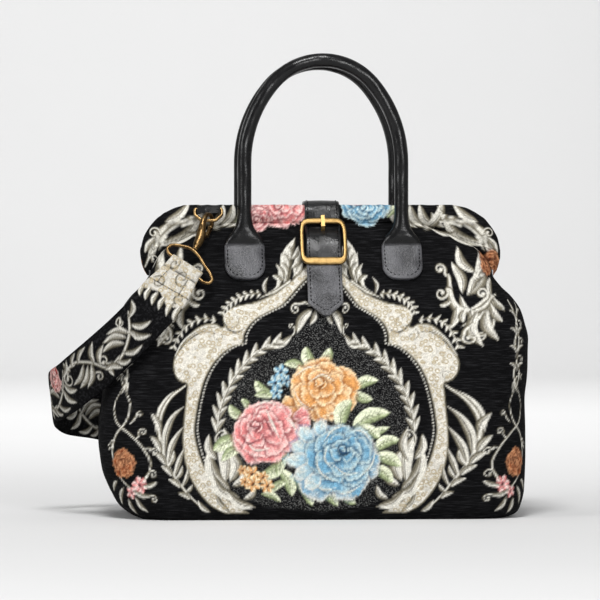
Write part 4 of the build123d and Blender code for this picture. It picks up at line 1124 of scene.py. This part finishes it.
def make_handle(name, side, body, node, stand):
    """A handle: one leather tube over a cord core, an arch whose two legs flatten into spade-shaped tabs sewn
    on the slope. Along the path the section changes from round to a thin wide tab."""
    leg = [(209.6, 1.2), (214, 1.2), (218, 1.2), (224, 1.2), (230, 1.2), (236, 1.3), (239.5, 1.7),
           (242.5, 2.9), (245.5, 4.7), (248.5, 6.6)]
    lower = slope_place(np.zeros(len(leg)), np.array([z for z, _ in leg]),
                        np.array([lift + 0.8 for _, lift in leg]))
    lower[:, 0] = -HANDLE_X
    rise = np.array([[-HANDLE_X, -31.2, 252.5], [-HANDLE_X, -31.1, 257], [-HANDLE_X, -31, 262],
                     [-HANDLE_X, -31, 267], [-HANDLE_X, -31, 285], [-HANDLE_X, -31, 300]])
    side_turn, top_turn = radians(40), radians(50)
    first = np.linspace(0, side_turn, 16)
    low_arc = np.stack([-HANDLE_X + 109.4 * (1 - np.cos(first)), 314.5 + 109.4 * np.sin(first)], axis=1)
    second = np.linspace(side_turn, side_turn + top_turn, 16)[1:]
    middle = low_arc[-1] + [58 * np.cos(side_turn), -58 * np.sin(side_turn)]
    high_arc = np.stack([middle[0] - 58 * np.cos(second), middle[1] + 58 * np.sin(second)], axis=1)
    arch = np.vstack([low_arc, high_arc])
    arch = np.stack([arch[:, 0], np.full(len(arch), -31.0), arch[:, 1]], axis=1)
    half = np.vstack([lower, rise, arch])
    knots = np.concatenate([[0], np.cumsum(np.linalg.norm(np.diff(half, axis=0), axis=1))])
    fine = np.concatenate([np.linspace(0, 75, 90, endpoint=False), np.linspace(75, knots[-1], 90)])
    half = np.stack([table(knots, half[:, k], fine, False) for k in range(3)], axis=1)
    half[-1, 0] = 0
    path = np.vstack([half, half[-2::-1] * [-1, 1, 1]])
    ahead = unit(np.gradient(path, axis=0))
    across = unit(np.cross(np.array([0.0, 1.0, 0.0]), ahead))
    normal = np.cross(across, ahead)
    z = half[:, 2]
    foot = np.clip((z - z[0]) / 13.0, 0, 1)
    round_end = 5 + 13 * np.sqrt(np.clip(1 - (1 - foot) ** 2.2, 0, 1))
    wide = np.where(z < 224, np.maximum(round_end, 0.4),
                    table([200, 224, 236, 241, 245, 249, 253, 258, 264, 272, 420],
                          [18, 18, 18, 17.7, 16.6, 14.2, 10.9, 8.1, 6.8, 6.25, 6.25], z))
    thick = table([200, 238, 242, 246, 250, 255, 260, 420], [1.55, 2.0, 3.9, 5.6, 6.2, 6.3, 6.25, 6.25], z)
    power = table([200, 236, 242, 250, 258, 420], [5.5, 5.0, 3.0, 2.3, 2.0, 2.0], z)
    both_ends = lambda values: np.concatenate([values, values[-2::-1]])
    wide, thick, power = both_ends(wide), both_ends(thick), both_ends(power)
    count = 44
    turn = np.linspace(0, 2 * np.pi, count, endpoint=False)
    c, s = np.cos(turn)[None, :], np.sin(turn)[None, :]
    shape_x = np.sign(c) * np.abs(c) ** (2 / power[:, None]) * wide[:, None]
    shape_y = np.sign(s) * np.abs(s) ** (2 / power[:, None]) * thick[:, None]
    sideways, outwards = across[:, None, :] * shape_x[..., None], normal[:, None, :] * shape_y[..., None]
    points = path[:, None, :] + sideways + outwards
    # the tabs are padded, so their outer faces swell towards the middle
    ends = both_ends(smooth(246, 236, z) * np.sqrt(foot))[:, None]
    swell = 1.5 * (1 - (shape_x / wide[:, None]) ** 2) * ends
    proud = ((points - path[:, None, :]) @ SLOPE_OUT > 0) * swell
    points = points + SLOPE_OUT * proud[..., None]
    points[..., 1] = np.where(side > 0, -points[..., 1] + stand, points[..., 1])
    rows = len(path)
    faces = grid_faces(rows, count, False, True, side < 0)
    triangles = halved(faces)
    fans = end_fans(rows, count)
    fans = fans if side < 0 else fans[:, ::-1]
    flat = np.vstack([points.reshape(-1, 3), points[0].mean(0), points[-1].mean(0)])
    piece = make_piece(name, flat, np.vstack([triangles, fans]), HANDLE_LEATHER)
    finish_ride(piece, body, [node])
    for end, sign in (("left", -1), ("right", 1)):
        seam = tab_outline(sign * HANDLE_X)
        if side > 0:
            seam[:, 1] = -seam[:, 1] + stand
        out = np.tile(SLOPE_OUT * ([1, 1, 1] if side < 0 else [1, -1, 1]), (len(seam), 1))
        stitch_line(f"{name}_{end}_stitches", seam, out, 2.5, 1.4, 1.15, STITCHES, body)
    return piece


def tab_outline(x):
    """The seam round a tab, set in from its edge: down one side, round the foot and up the other."""
    inset, half, corner, foot = 2.7, 18, 13, 209.8
    reach = half - inset
    radius = corner - inset + 1
    turn = np.linspace(0, np.pi / 2, 14)
    low = foot + inset
    left = np.stack([np.full(20, -reach), np.linspace(238, low + radius, 20)], axis=1)
    bend = np.stack([-reach + radius * (1 - np.cos(turn)), low + radius * (1 - np.sin(turn))], axis=1)
    half_line = np.vstack([[[-reach + 1.2, 242.5]], left, bend])
    line = np.vstack([half_line, half_line[::-1] * [-1, 1]])
    return slope_place(x + line[:, 0], line[:, 1], np.full(len(line), 3.9))


def make_strap(name, inner, widths, thickness, material):
    """A flat strap whose inner face follows a line in the plane x = 0; widths are given along it. The section
    is a rounded rectangle, finer towards its edges."""
    inner, widths = np.asarray(inner, float), np.asarray(widths, float)
    ahead = unit(np.gradient(inner, axis=0))
    out = np.stack([-ahead[:, 1], ahead[:, 0]], axis=1)
    count = 48
    turn = np.linspace(0, 2 * np.pi, count, endpoint=False)
    c, s = np.cos(turn), np.sin(turn)
    across = np.sign(c) * np.abs(c) ** (2 / 12.0)
    lift = np.sign(s) * np.abs(s) ** (2 / 4.0)
    middle = inner + out * thickness / 2
    x = widths[:, None] / 2 * across[None, :]
    crown = np.where(lift > 0, 0.5 * (1 - across ** 2), 0.0)
    y = middle[:, :1] + out[:, :1] * (lift * thickness / 2 + crown)[None, :]
    z = middle[:, 1:] + out[:, 1:] * (lift * thickness / 2 + crown)[None, :]
    points = np.stack([x, y, z], axis=-1)
    rows = len(inner)
    faces = grid_faces(rows, count, False, True, True)
    triangles = halved(faces)
    flat = np.vstack([points.reshape(-1, 3), points[0].mean(0), points[-1].mean(0)])
    return make_piece(name, flat, np.vstack([triangles, end_fans(rows, count)]), material)


def closing_strap_line():
    """Inner face of the closing strap, from its tip up the slope, bulging over the buckle's bar, over the
    front casing to the fold: y and height pairs."""
    heights = np.array([176, 189, 200, 212, 220, 226, 232, 238, 243, 248, 252, 257.7])
    lifts = np.array([4.2, 4.2, 4.2, 4.3, 4.8, 6.6, 8.2, 8.8, 8.0, 5.6, 3.2, 2.0])
    slope = slope_place(np.zeros(len(heights)), heights, lifts)[:, 1:]
    turn = np.radians([176, 165, 152, 138, 124, 110, 98])
    over = np.stack([-CASING_Y + 10.5 * np.cos(turn), CASING_Z + 9.9 * np.sin(turn)], axis=1)
    line = np.vstack([slope, over, [[-4, 277.95], [1, 277.9]]])
    return through(line, 230)


def strap_base_line():
    """Inner face of the fixed part of the strap, from the fold over the back casing and down the back
    slope."""
    turn = np.radians([84, 70, 56, 42, 28, 14, 0])
    over = np.stack([CASING_Y + 9.7 * np.cos(turn), CASING_Z + 9.9 * np.sin(turn)], axis=1)
    heights = np.array([256.7, 250, 244, 238, 232])
    slope = slope_place(np.zeros(5), heights, np.full(5, 0.5))[:, 1:] * [-1, 1]
    line = np.vstack([[[1.3, 277.9], [5, 278]], over, [[18.9, 261.5]], slope])
    return through(line, 110)


def build_closing_strap():
    """The strap in two parts that meet at its fold, with a row of stitches near each edge and round the
    pointed tip."""
    line = closing_strap_line()
    height = line[:, 1]
    slope_part = line[:, 0] < -12
    widths = np.where((height < 189) & slope_part, 2 * table([176, 189], [0.6, 15.6], height), 31.2)
    widths = np.minimum(widths, 31.2)
    piece = make_strap("closing_strap_leather", line, widths, 2.6, LEATHER)
    finish_ride(piece, "closing_strap_body", ["closing_strap"])
    ahead = unit(np.gradient(line, axis=0))
    out = np.stack([0 * height, -ahead[:, 1], ahead[:, 0]], axis=1)
    # faces run from the tip, so the way out is the left-hand side of the line
    top = np.stack([0 * height, line[:, 0], height], axis=1) + out * 2.62
    keep = height > 190.5
    for name, sign in (("left", -1), ("right", 1)):
        tip = np.array([[0.0, *slope_place(np.zeros(1), np.array([179.6]), np.array([6.9]))[0][1:]]])
        edge = top[keep] + np.array([sign * 12.9, 0, 0])
        path = np.vstack([tip, edge])
        ways = np.vstack([SLOPE_OUT[None, :], out[keep]])
        stitch_line(f"closing_strap_{name}_stitches", path, ways, 2.6, 1.3, 1.1, STITCHES,
                    "closing_strap_body")
    line = strap_base_line()
    piece = make_strap("closing_strap_base_leather", line, np.full(len(line), 31.2), 2.6, LEATHER)
    finish_ride(piece, "back_half", ["closing_strap_base"])
    ahead = unit(np.gradient(line, axis=0))
    out = np.stack([0 * line[:, 0], -ahead[:, 1], ahead[:, 0]], axis=1)
    top = np.stack([0 * line[:, 0], line[:, 0], line[:, 1]], axis=1) + out * 2.62
    for name, sign in (("left", -1), ("right", 1)):
        path = top[3:-4] + np.array([sign * 12.9, 0, 0])
        stitch_line(f"strap_base_{name}_stitches", path, out[3:-4], 2.3, 1.3, 0.85, STITCHES, "back_half")


def bent_bar(name, path, across, up, profile, material, body, close=True):
    """A bar of one section bent along a closed path."""
    points = path[:, None, :] + across[:, None, :] * profile[..., :1] + up[:, None, :] * profile[..., 1:]
    rows, columns = points.shape[:2]
    faces = grid_faces(rows, columns, close, True, False)
    piece = make_piece(name, points, halved(faces), material)
    return finish_ride(piece, body)


def build_buckle():
    """The buckle frame: a rounded oblong on the slope whose bar is wider at the foot, and swells towards its
    middle."""
    count = 240
    turn = np.linspace(0, 2 * np.pi, count, endpoint=False)
    half_width, half_length, power = 18.4, 20.6, 7.0
    c, s = np.cos(turn), np.sin(turn)
    x = np.sign(c) * np.abs(c) ** (2 / power) * half_width
    along = np.sign(s) * np.abs(s) ** (2 / power) * half_length
    x = x * (1 + 0.045 * (1 - (along / half_length) ** 2))
    share = np.clip(-along / half_length, 0, 1) ** 6
    top_share = np.clip(along / half_length, 0, 1) ** 6
    centre = slope_place(np.zeros(1), np.array([240.0]), np.array([8.4]))[0]
    along = along + 0.9 * share + 0.4 * top_share
    path = centre + x[:, None] * np.array([1.0, 0, 0]) + along[:, None] * SLOPE_UP
    ahead = unit(np.roll(path, -1, axis=0) - np.roll(path, 1, axis=0))
    up = np.tile(SLOPE_OUT, (count, 1))
    across = unit(np.cross(ahead, up))
    wide = 1.8 + 2.1 * share + 1.0 * top_share
    profile = round_profile(wide, np.full(count, 1.5), 24, 3.8)
    piece = bent_bar("buckle_bar", path, across, up, profile, BUCKLE_BRASS, "closing_strap_body")
    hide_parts("buckle_frame")


def rod(path, normal, radius, count=20):
    """A round rod of changing radius along a path that lies in one plane, with closed ends."""
    ahead = unit(np.gradient(path, axis=0))
    up = np.tile(normal, (len(path), 1))
    across = unit(np.cross(ahead, up))
    points, parts = tube(path, across, up, round_profile(radius, radius, count))
    return points, joined_faces(parts)


BOW, COLLAR = np.array([-101.7, -28.5, 262.8]), np.array([-115.7, -48.5, 235.3])


def build_hook(side, name):
    """A trigger hook: a stout shank that swells above the swivel, bends out, thins and curls over the ring,
    with a short lug where the gate closes. The back one is the front one turned half round."""
    turn = np.array([side, side, 1.0])
    bow, collar = BOW * turn, COLLAR * turn
    down = unit(collar - bow)
    facing = unit(np.cross(down, [0.0, 0.0, 1.0]))
    out = np.cross(facing, down)
    curl = [(0, -35), (0, -28), (0.2, -21), (2.4, -15), (5.4, -9.4), (6.7, -3.4), (5.7, 1.8), (2.6, 4.9),
            (-2.4, 5.0), (-5.6, 1.9), (-6.5, -3.6)]
    curl = through(curl, 70)
    lug = through([(0, -19), (-3.4, -16.6), (-6.3, -13.4)], 14)
    radius = table([-40, -34, -28, -20, -14, -8, -2, 4, 8], [2.6, 2.6, 3.8, 4.3, 3.7, 2.9, 2.2, 1.9, 1.8],
                   curl[:, 1])
    place = lambda flat: bow + flat[:, :1] * out - flat[:, 1:] * down
    points, faces = rod(place(curl), facing, radius)
    more, more_faces = rod(place(lug), facing, np.linspace(2.6, 1.5, 14))
    piece = make_piece(name + "_trigger_hook", np.vstack([points, more]),
                       np.vstack([faces, more_faces + len(points)]), BRASS)
    finish_ride(piece, name + "_hook_body", [name + "_hook"])


def round_trip(points, count):
    """A smooth closed path of count points through the given ones: the middle turn of three turns of an open
    path."""
    points = np.asarray(points, float)
    turns = np.vstack([points, points, points, points[:1]])
    knots = np.concatenate([[0], np.cumsum(np.linalg.norm(np.diff(turns, axis=0), axis=1))])
    around = knots[len(points)]
    at = np.linspace(around, 2 * around, count, endpoint=False)
    return np.stack([table(knots, turns[:, k], at, False) for k in range(2)], axis=1)


def build_bail(side, name):
    """The wire loop that holds the strap's end: a straight bar under the webbing, round corners, and two
    shoulders that meet under the swivel. The back one is the front one turned half round."""
    turn = np.array([side, side, 1.0])
    middle, along = np.array([-122.8, -55.0, 221.0]), unit(np.array([0.716, -0.340, -0.609]))
    rise = COLLAR - middle
    lean = rise @ along
    rise = rise - along * lean
    reach = np.linalg.norm(rise)
    loop = [(-16, 0), (0, 0), (16, 0), (21.5, 0.3), (25, 2.8), (25, 6.6), (21, 9.4), (10, 12.9),
            (lean + 5, reach), (lean - 5, reach), (-16.5, 13.4), (-22, 10), (-25, 6.6), (-25, 2.8),
            (-21.5, 0.3)]
    loop = round_trip(loop, 240)
    path = (middle + loop[:, :1] * along + loop[:, 1:] * rise / reach) * turn
    normal = np.tile(np.cross(along * turn, rise / reach * turn), (len(path), 1))
    across = unit(np.cross(np.roll(path, -1, axis=0) - np.roll(path, 1, axis=0), normal))
    piece = bent_bar(name + "_bail_wire", path, across, normal,
                     round_profile(np.full(240, 1.5), np.full(240, 1.5), 16), BRASS,
                     "root" if side > 0 else "back_half")
    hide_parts(name + "_bail")


# ---------------------------------------------------------------- shoulder strap
STRAP_POINTS = [(-121.0, -54.2, 224.6), (-153.6, -73, 185), (-198, -62, 141), (-226, -30, 116),
                (-240, 14, 103), (-228, 44, 93), (-200, 70, 87), (-162, 94, 78), (-120, 116, 56),
                (-70, 130, 38), (-10, 136, 30), (50, 134, 30), (105, 125, 40), (145, 112, 66), (166, 98, 104),
                (168, 86, 146), (153.6, 74, 185), (121.0, 54.2, 224.6)]
STRAP_WAYS = [(0.716, -0.340, -0.609), (0.72, -0.44, -0.54), (0.68, -0.46, -0.57), (0.45, -0.36, -0.82),
              (0.10, -0.05, -0.99), (0.02, 0.02, -1.0), (0.0, 0.03, -1.0), (0.0, 0.03, -1.0),
              (0.0, 0.03, -1.0), (0.0, 0.03, -1.0), (0.0, 0.03, -1.0), (0.0, 0.03, -1.0), (0.10, 0.06, -0.99),
              (0.35, 0.10, -0.93), (0.70, 0.05, -0.71), (0.90, -0.10, -0.42), (0.86, -0.36, 0.36),
              (0.716, -0.340, 0.609)]
STRAP_WIDTH, STRAP_THICKNESS, STRAP_LENGTH = 45, 3.4, 842


def strap_path(count):
    """Middle line of the shoulder strap with the way its width points and the way its face looks, evenly
    spread."""
    points = np.array(STRAP_POINTS, float)
    knots = np.concatenate([[0], np.cumsum(np.linalg.norm(np.diff(points, axis=0), axis=1))])
    at = np.linspace(0, knots[-1], count)
    path = np.stack([table(knots, points[:, k], at, False) for k in range(3)], axis=1)
    ways = np.array(STRAP_WAYS, float)
    ways = np.stack([table(knots, ways[:, k], at, False) for k in range(3)], axis=1)
    ahead = unit(np.gradient(path, axis=0))
    ways = unit(ways - ahead * (ways * ahead).sum(1, keepdims=True))
    return path, ahead, ways, np.cross(ahead, ways)


def weave_strap(cloth, length):
    """The strap's picture, in quieter threads than the bag's: branching leaf scrolls one after another, with
    a rust rose now and then, and cream cloth at both ends where the webbing is turned back round its bail."""
    quiet, shade = CREAM * 0.72, TAN * 0.6
    for start in np.arange(70, length - 60, 92):
        for side, shift in ((1, 0), (-1, 44)):
            cloth.side = 1
            base = start + shift
            flip = 1 if side > 0 else -1
            cloth.stroke([(-14 * flip, base), (4 * flip, base + 14), (13 * flip, base + 34),
                          (2 * flip, base + 50)], [1.5, 3, 2.8, 1.4], quiet, shade, 0.1, 26)
            cloth.volute((4 * flip, base + 44), 6.2, 90, 0.9 * flip, 3.0, quiet, shade,
                         [(11 * flip, base + 30), (12 * flip, base + 42)])
            cloth.volute((-12 * flip, base + 12), 4.6, 200, -0.9 * flip, 2.4, quiet, shade,
                         [(0, base + 12), (-5 * flip, base + 18)])
            for a, b, width in [((2, 12), (-13, 28), 6), ((3, 16), (-9, 36), 6), ((6, 20), (-3, 41), 6),
                                ((10, 26), (18, 10), 5), ((12, 34), (20, 24), 4.6), ((-4, 6), (8, -8), 6),
                                ((-10, 4), (-20, -10), 5.5), ((0, 10), (17, 0), 6), ((9, 38), (20, 44), 5)]:
                cloth.leaf((a[0] * flip, base + a[1]), (b[0] * flip, base + b[1]), width, 0.16 * flip, quiet,
                           shade)
    for middle in (182, 372, 560, 700):
        cloth.rose((-12, middle), (12, 11), 20, (PALE_PINK, thread(196, 74, 70), DARK_BROWN), seed=middle)
    for low, high in ((-2, 44), (length - 44, length + 2)):
        edge = high if low < 0 else low
        way = 1 if low < 0 else -1
        cloth.patch([(-24, low), (24, low), (24, edge - way * 6), (10, edge + way * 1), (-4, edge - way * 7),
                     (-24, edge - way * 1)], BAND * 0.8, mark=cloth.band)
        for x, offset, radius, start in [(6, 15, 9, 30), (-12, 30, 7, 200), (15, 34, 5, 90),
                                         (-12, 8, 6, 300)]:
            cloth.volute((x, offset if way > 0 else length - offset), radius, start, 1.1, 2.2, TAN, UMBER)
        for x in (-20, -13, -5, 3, 12, 20):
            cloth.leaf((x, edge - way * 6), (x + 3, edge + way * 7), 5, 0.1)
        for offset in (13, 30):
            across_line = offset if way > 0 else length - offset
            cloth.stroke([(-22, across_line), (22, across_line)], [1.3, 1.3], UMBER, UMBER, 0, 6)
        for x in (-13, 12):
            cloth.stroke([(x, 13 if way > 0 else length - 13), (x, 30 if way > 0 else length - 30)],
                         [1.1, 1.1], UMBER, UMBER, 0, 6)


def build_shoulder_strap():
    """A ribbon of doubled tapestry with rounded edges, closed at both ends, its picture on both faces."""
    rows, count = 760, 96
    path, _, ways, face = strap_path(rows)
    turn = np.linspace(0, 2 * np.pi, count, endpoint=False)
    across = np.interp(turn, [0, np.pi, 2 * np.pi], [1, -1, 1]) * STRAP_WIDTH / 2
    upper = turn < np.pi
    edge = np.sqrt(np.clip(1 - (np.abs(across) / (STRAP_WIDTH / 2)) ** 14, 0.0, 1))
    lift = np.where(upper, 1, -1) * edge * STRAP_THICKNESS / 2
    along = np.linspace(0, STRAP_LENGTH, rows)
    wave = 0.35 * (lattice(along[:, None] / 13, across[None, :] / 16 + 4, 21) - 0.5) * edge[None, :]
    end = np.minimum(along, STRAP_LENGTH - along)
    cup = 1.4 * (across[None, :] / (STRAP_WIDTH / 2)) ** 2 * smooth(20, 90, end)[:, None]
    sleeve = table([0, 2, 5, 9, 15, 400], [0.55, 1.7, 1.95, 1.7, 1.0, 1.0], end)
    height = lift[None, :] * sleeve[:, None] + wave - cup
    drawn_in = table([0, 8, 20, 40, 430], [0.72, 0.74, 0.84, 1.0, 1.0], end)
    sideways = across[None, :] * drawn_in[:, None]
    points = path[:, None, :] + ways[:, None, :] * sideways[..., None] + face[:, None, :] * height[..., None]
    faces = grid_faces(rows, count, False, True, True)
    triangles = halved(faces)
    fans = end_fans(rows, count)[:, ::-1]
    flat = np.vstack([points.reshape(-1, 3), path[:1], path[-1:]])
    piece = make_piece("shoulder_strap_webbing", flat, np.vstack([triangles, fans]), STRAP_CLOTH)
    place = np.broadcast_to(across[None, :], (rows, count)) * 1.0
    cloth = Cloth(np.append(place.ravel(), [0, 0]), np.append(np.repeat(along, count), [0, STRAP_LENGTH]))
    weave_strap(cloth, STRAP_LENGTH)
    paint(piece, cloth)
    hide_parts("shoulder_strap")
    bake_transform(piece)
    return piece


# ---------------------------------------------------------------- everything together
front_cloth = sew_wall("front_tapestry", -1)
finish_ride(front_cloth, "root", ["front_panel"])
back_cloth = sew_wall("back_tapestry", 1)
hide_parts("back_panel_lower", "back_panel_upper")
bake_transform(back_cloth)
finish_ride(sew_lining("front_lining", -1), "root", ["lining"])
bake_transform(sew_lining("back_lining", 1))
finish_ride(sew_base(), "root", ["base_panel"])
finish_ride(sew_casing("front_casing_cloth", -1), "root", ["front_casing"])
finish_ride(sew_casing("back_casing_cloth", 1), "back_half", ["back_casing"])
make_handle("front_handle_leather", -1, "root", "front_handle", 0)
make_handle("back_handle_leather", 1, "back_half", "back_handle", -3.3)
build_closing_strap()
build_buckle()
build_hook(1, "left")
build_hook(-1, "right")
build_bail(1, "left")
build_bail(-1, "right")
build_shoulder_strap()

CAD_FINISHES = {"base_board": BOARD, "front_frame": STEEL, "back_frame": STEEL, "left_hinge_rivet": STEEL,
                "right_hinge_rivet": STEEL, "front_handle_core": CORD, "back_handle_core": CORD,
                "snap_socket": SNAP_STEEL, "snap_stud": SNAP_STEEL, "left_ring_tab": TAB_PATENT,
                "right_ring_tab": TAB_PATENT, "buckle_prong": BUCKLE_BRASS}
for node_name, node in nodes.items():
    brass = any(word in node_name for word in ("ring", "hook", "gate"))
    finish = CAD_FINISHES.get(node_name, BRASS if brass else None)
    if finish is not None:
        node.data.materials.clear()
        node.data.materials.append(finish)


# ---------------------------------------------------------------- floor, light and camera
def build_stage():
    """A pale floor that curves up behind."""
    f = Finish("pale_floor")
    cloud = f.noise((3, 3, 3), 1.0, 2.0)
    # painted light: the floor is darker at the front and lighter towards the back, to even out how the lamps
    # fall off with distance
    away = f.rise(f.add("SeparateXYZ", n0=f.place).outputs[1], -0.6, 2.2)
    colour = f.mix(away, rgba(thread(198, 198, 198)), rgba(thread(232, 232, 232)))
    colour = f.mix(f.math("MULTIPLY", cloud, 0.12), colour, rgba(thread(212, 212, 212)))
    f.shade(Base_Color=colour, Roughness=0.9, Specular_IOR_Level=0.1)
    turn = np.linspace(0, np.pi / 2, 24)
    section = np.vstack([[[-7000, 0]], np.stack([3900 + 1500 * np.sin(turn), 1500 * (1 - np.cos(turn))],
                                                axis=1), [[5400, 6000]]])
    x = np.array([-8000, 8000.0])
    points = np.stack([np.broadcast_to(x[:, None], (2, len(section))),
                       np.broadcast_to(section[None, :, 0], (2, len(section))),
                       np.broadcast_to(section[None, :, 1], (2, len(section)))], axis=-1)
    floor = make_piece("floor", points, grid_faces(2, len(section), False, False, True), f.material)


def add_light(name, place, target, size, power, colour=(1, 1, 1)):
    """A square soft light at a place in metres, turned to a target."""
    light = bpy.data.lights.new(name, "AREA")
    light.size, light.energy, light.color = size, power, colour
    lamp = bpy.data.objects.new(name, light)
    lamp.location = place
    lamp.rotation_euler = (Vector(target) - Vector(place)).to_track_quat("-Z", "Y").to_euler()
    bpy.context.scene.collection.objects.link(lamp)


def build_camera():
    """The camera stands level with the casings, a little to the left, far away with a long lens."""
    camera = bpy.data.cameras.new("camera")
    camera.sensor_width = 36
    distance = VIEW_DISTANCE * MM
    camera.angle = 2 * np.arctan(0.5 * 0.5357 / distance)
    camera.clip_end = 100
    stand = bpy.data.objects.new("camera", camera)
    look = Vector((-0.0196, -FRONT_PLANE * MM, 0.192))
    yaw = radians(YAW)
    ahead = Vector((sin(yaw), cos(yaw), 0))
    place = look - ahead * distance
    place.z = VIEW_HEIGHT * MM
    stand.location = place
    level = Vector((look.x, look.y, VIEW_HEIGHT * MM))
    stand.rotation_euler = (level - place).to_track_quat("-Z", "Y").to_euler()
    camera.shift_y = (0.192 - VIEW_HEIGHT * MM) / 0.5357
    bpy.context.scene.collection.objects.link(stand)
    bpy.context.scene.camera = stand


build_stage()
add_light("key_light", (-0.25, -1.35, 2.2), (0, 0, 0.2), 0.7, 46)
add_light("front_fill", (0.9, -2.6, 1.0), (0, 0, 0.18), 1.0, 36)
add_light("left_fill", (-2.0, -1.1, 0.9), (0, 0, 0.18), 0.9, 18)
add_light("backdrop_light", (0, 1.1, 2.4), (0, 3.6, 0.9), 2.4, 56)
add_light("wall_light", (0, 2.7, 2.6), (0, 5.2, 1.0), 2.0, 26)
world = bpy.data.worlds.new("studio")
world.use_nodes = True
world.node_tree.nodes["Background"].inputs["Color"].default_value = (1, 1, 1, 1)
world.node_tree.nodes["Background"].inputs["Strength"].default_value = 0.34
bpy.context.scene.world = world
bpy.context.scene.view_settings.view_transform = "Standard"
build_camera()
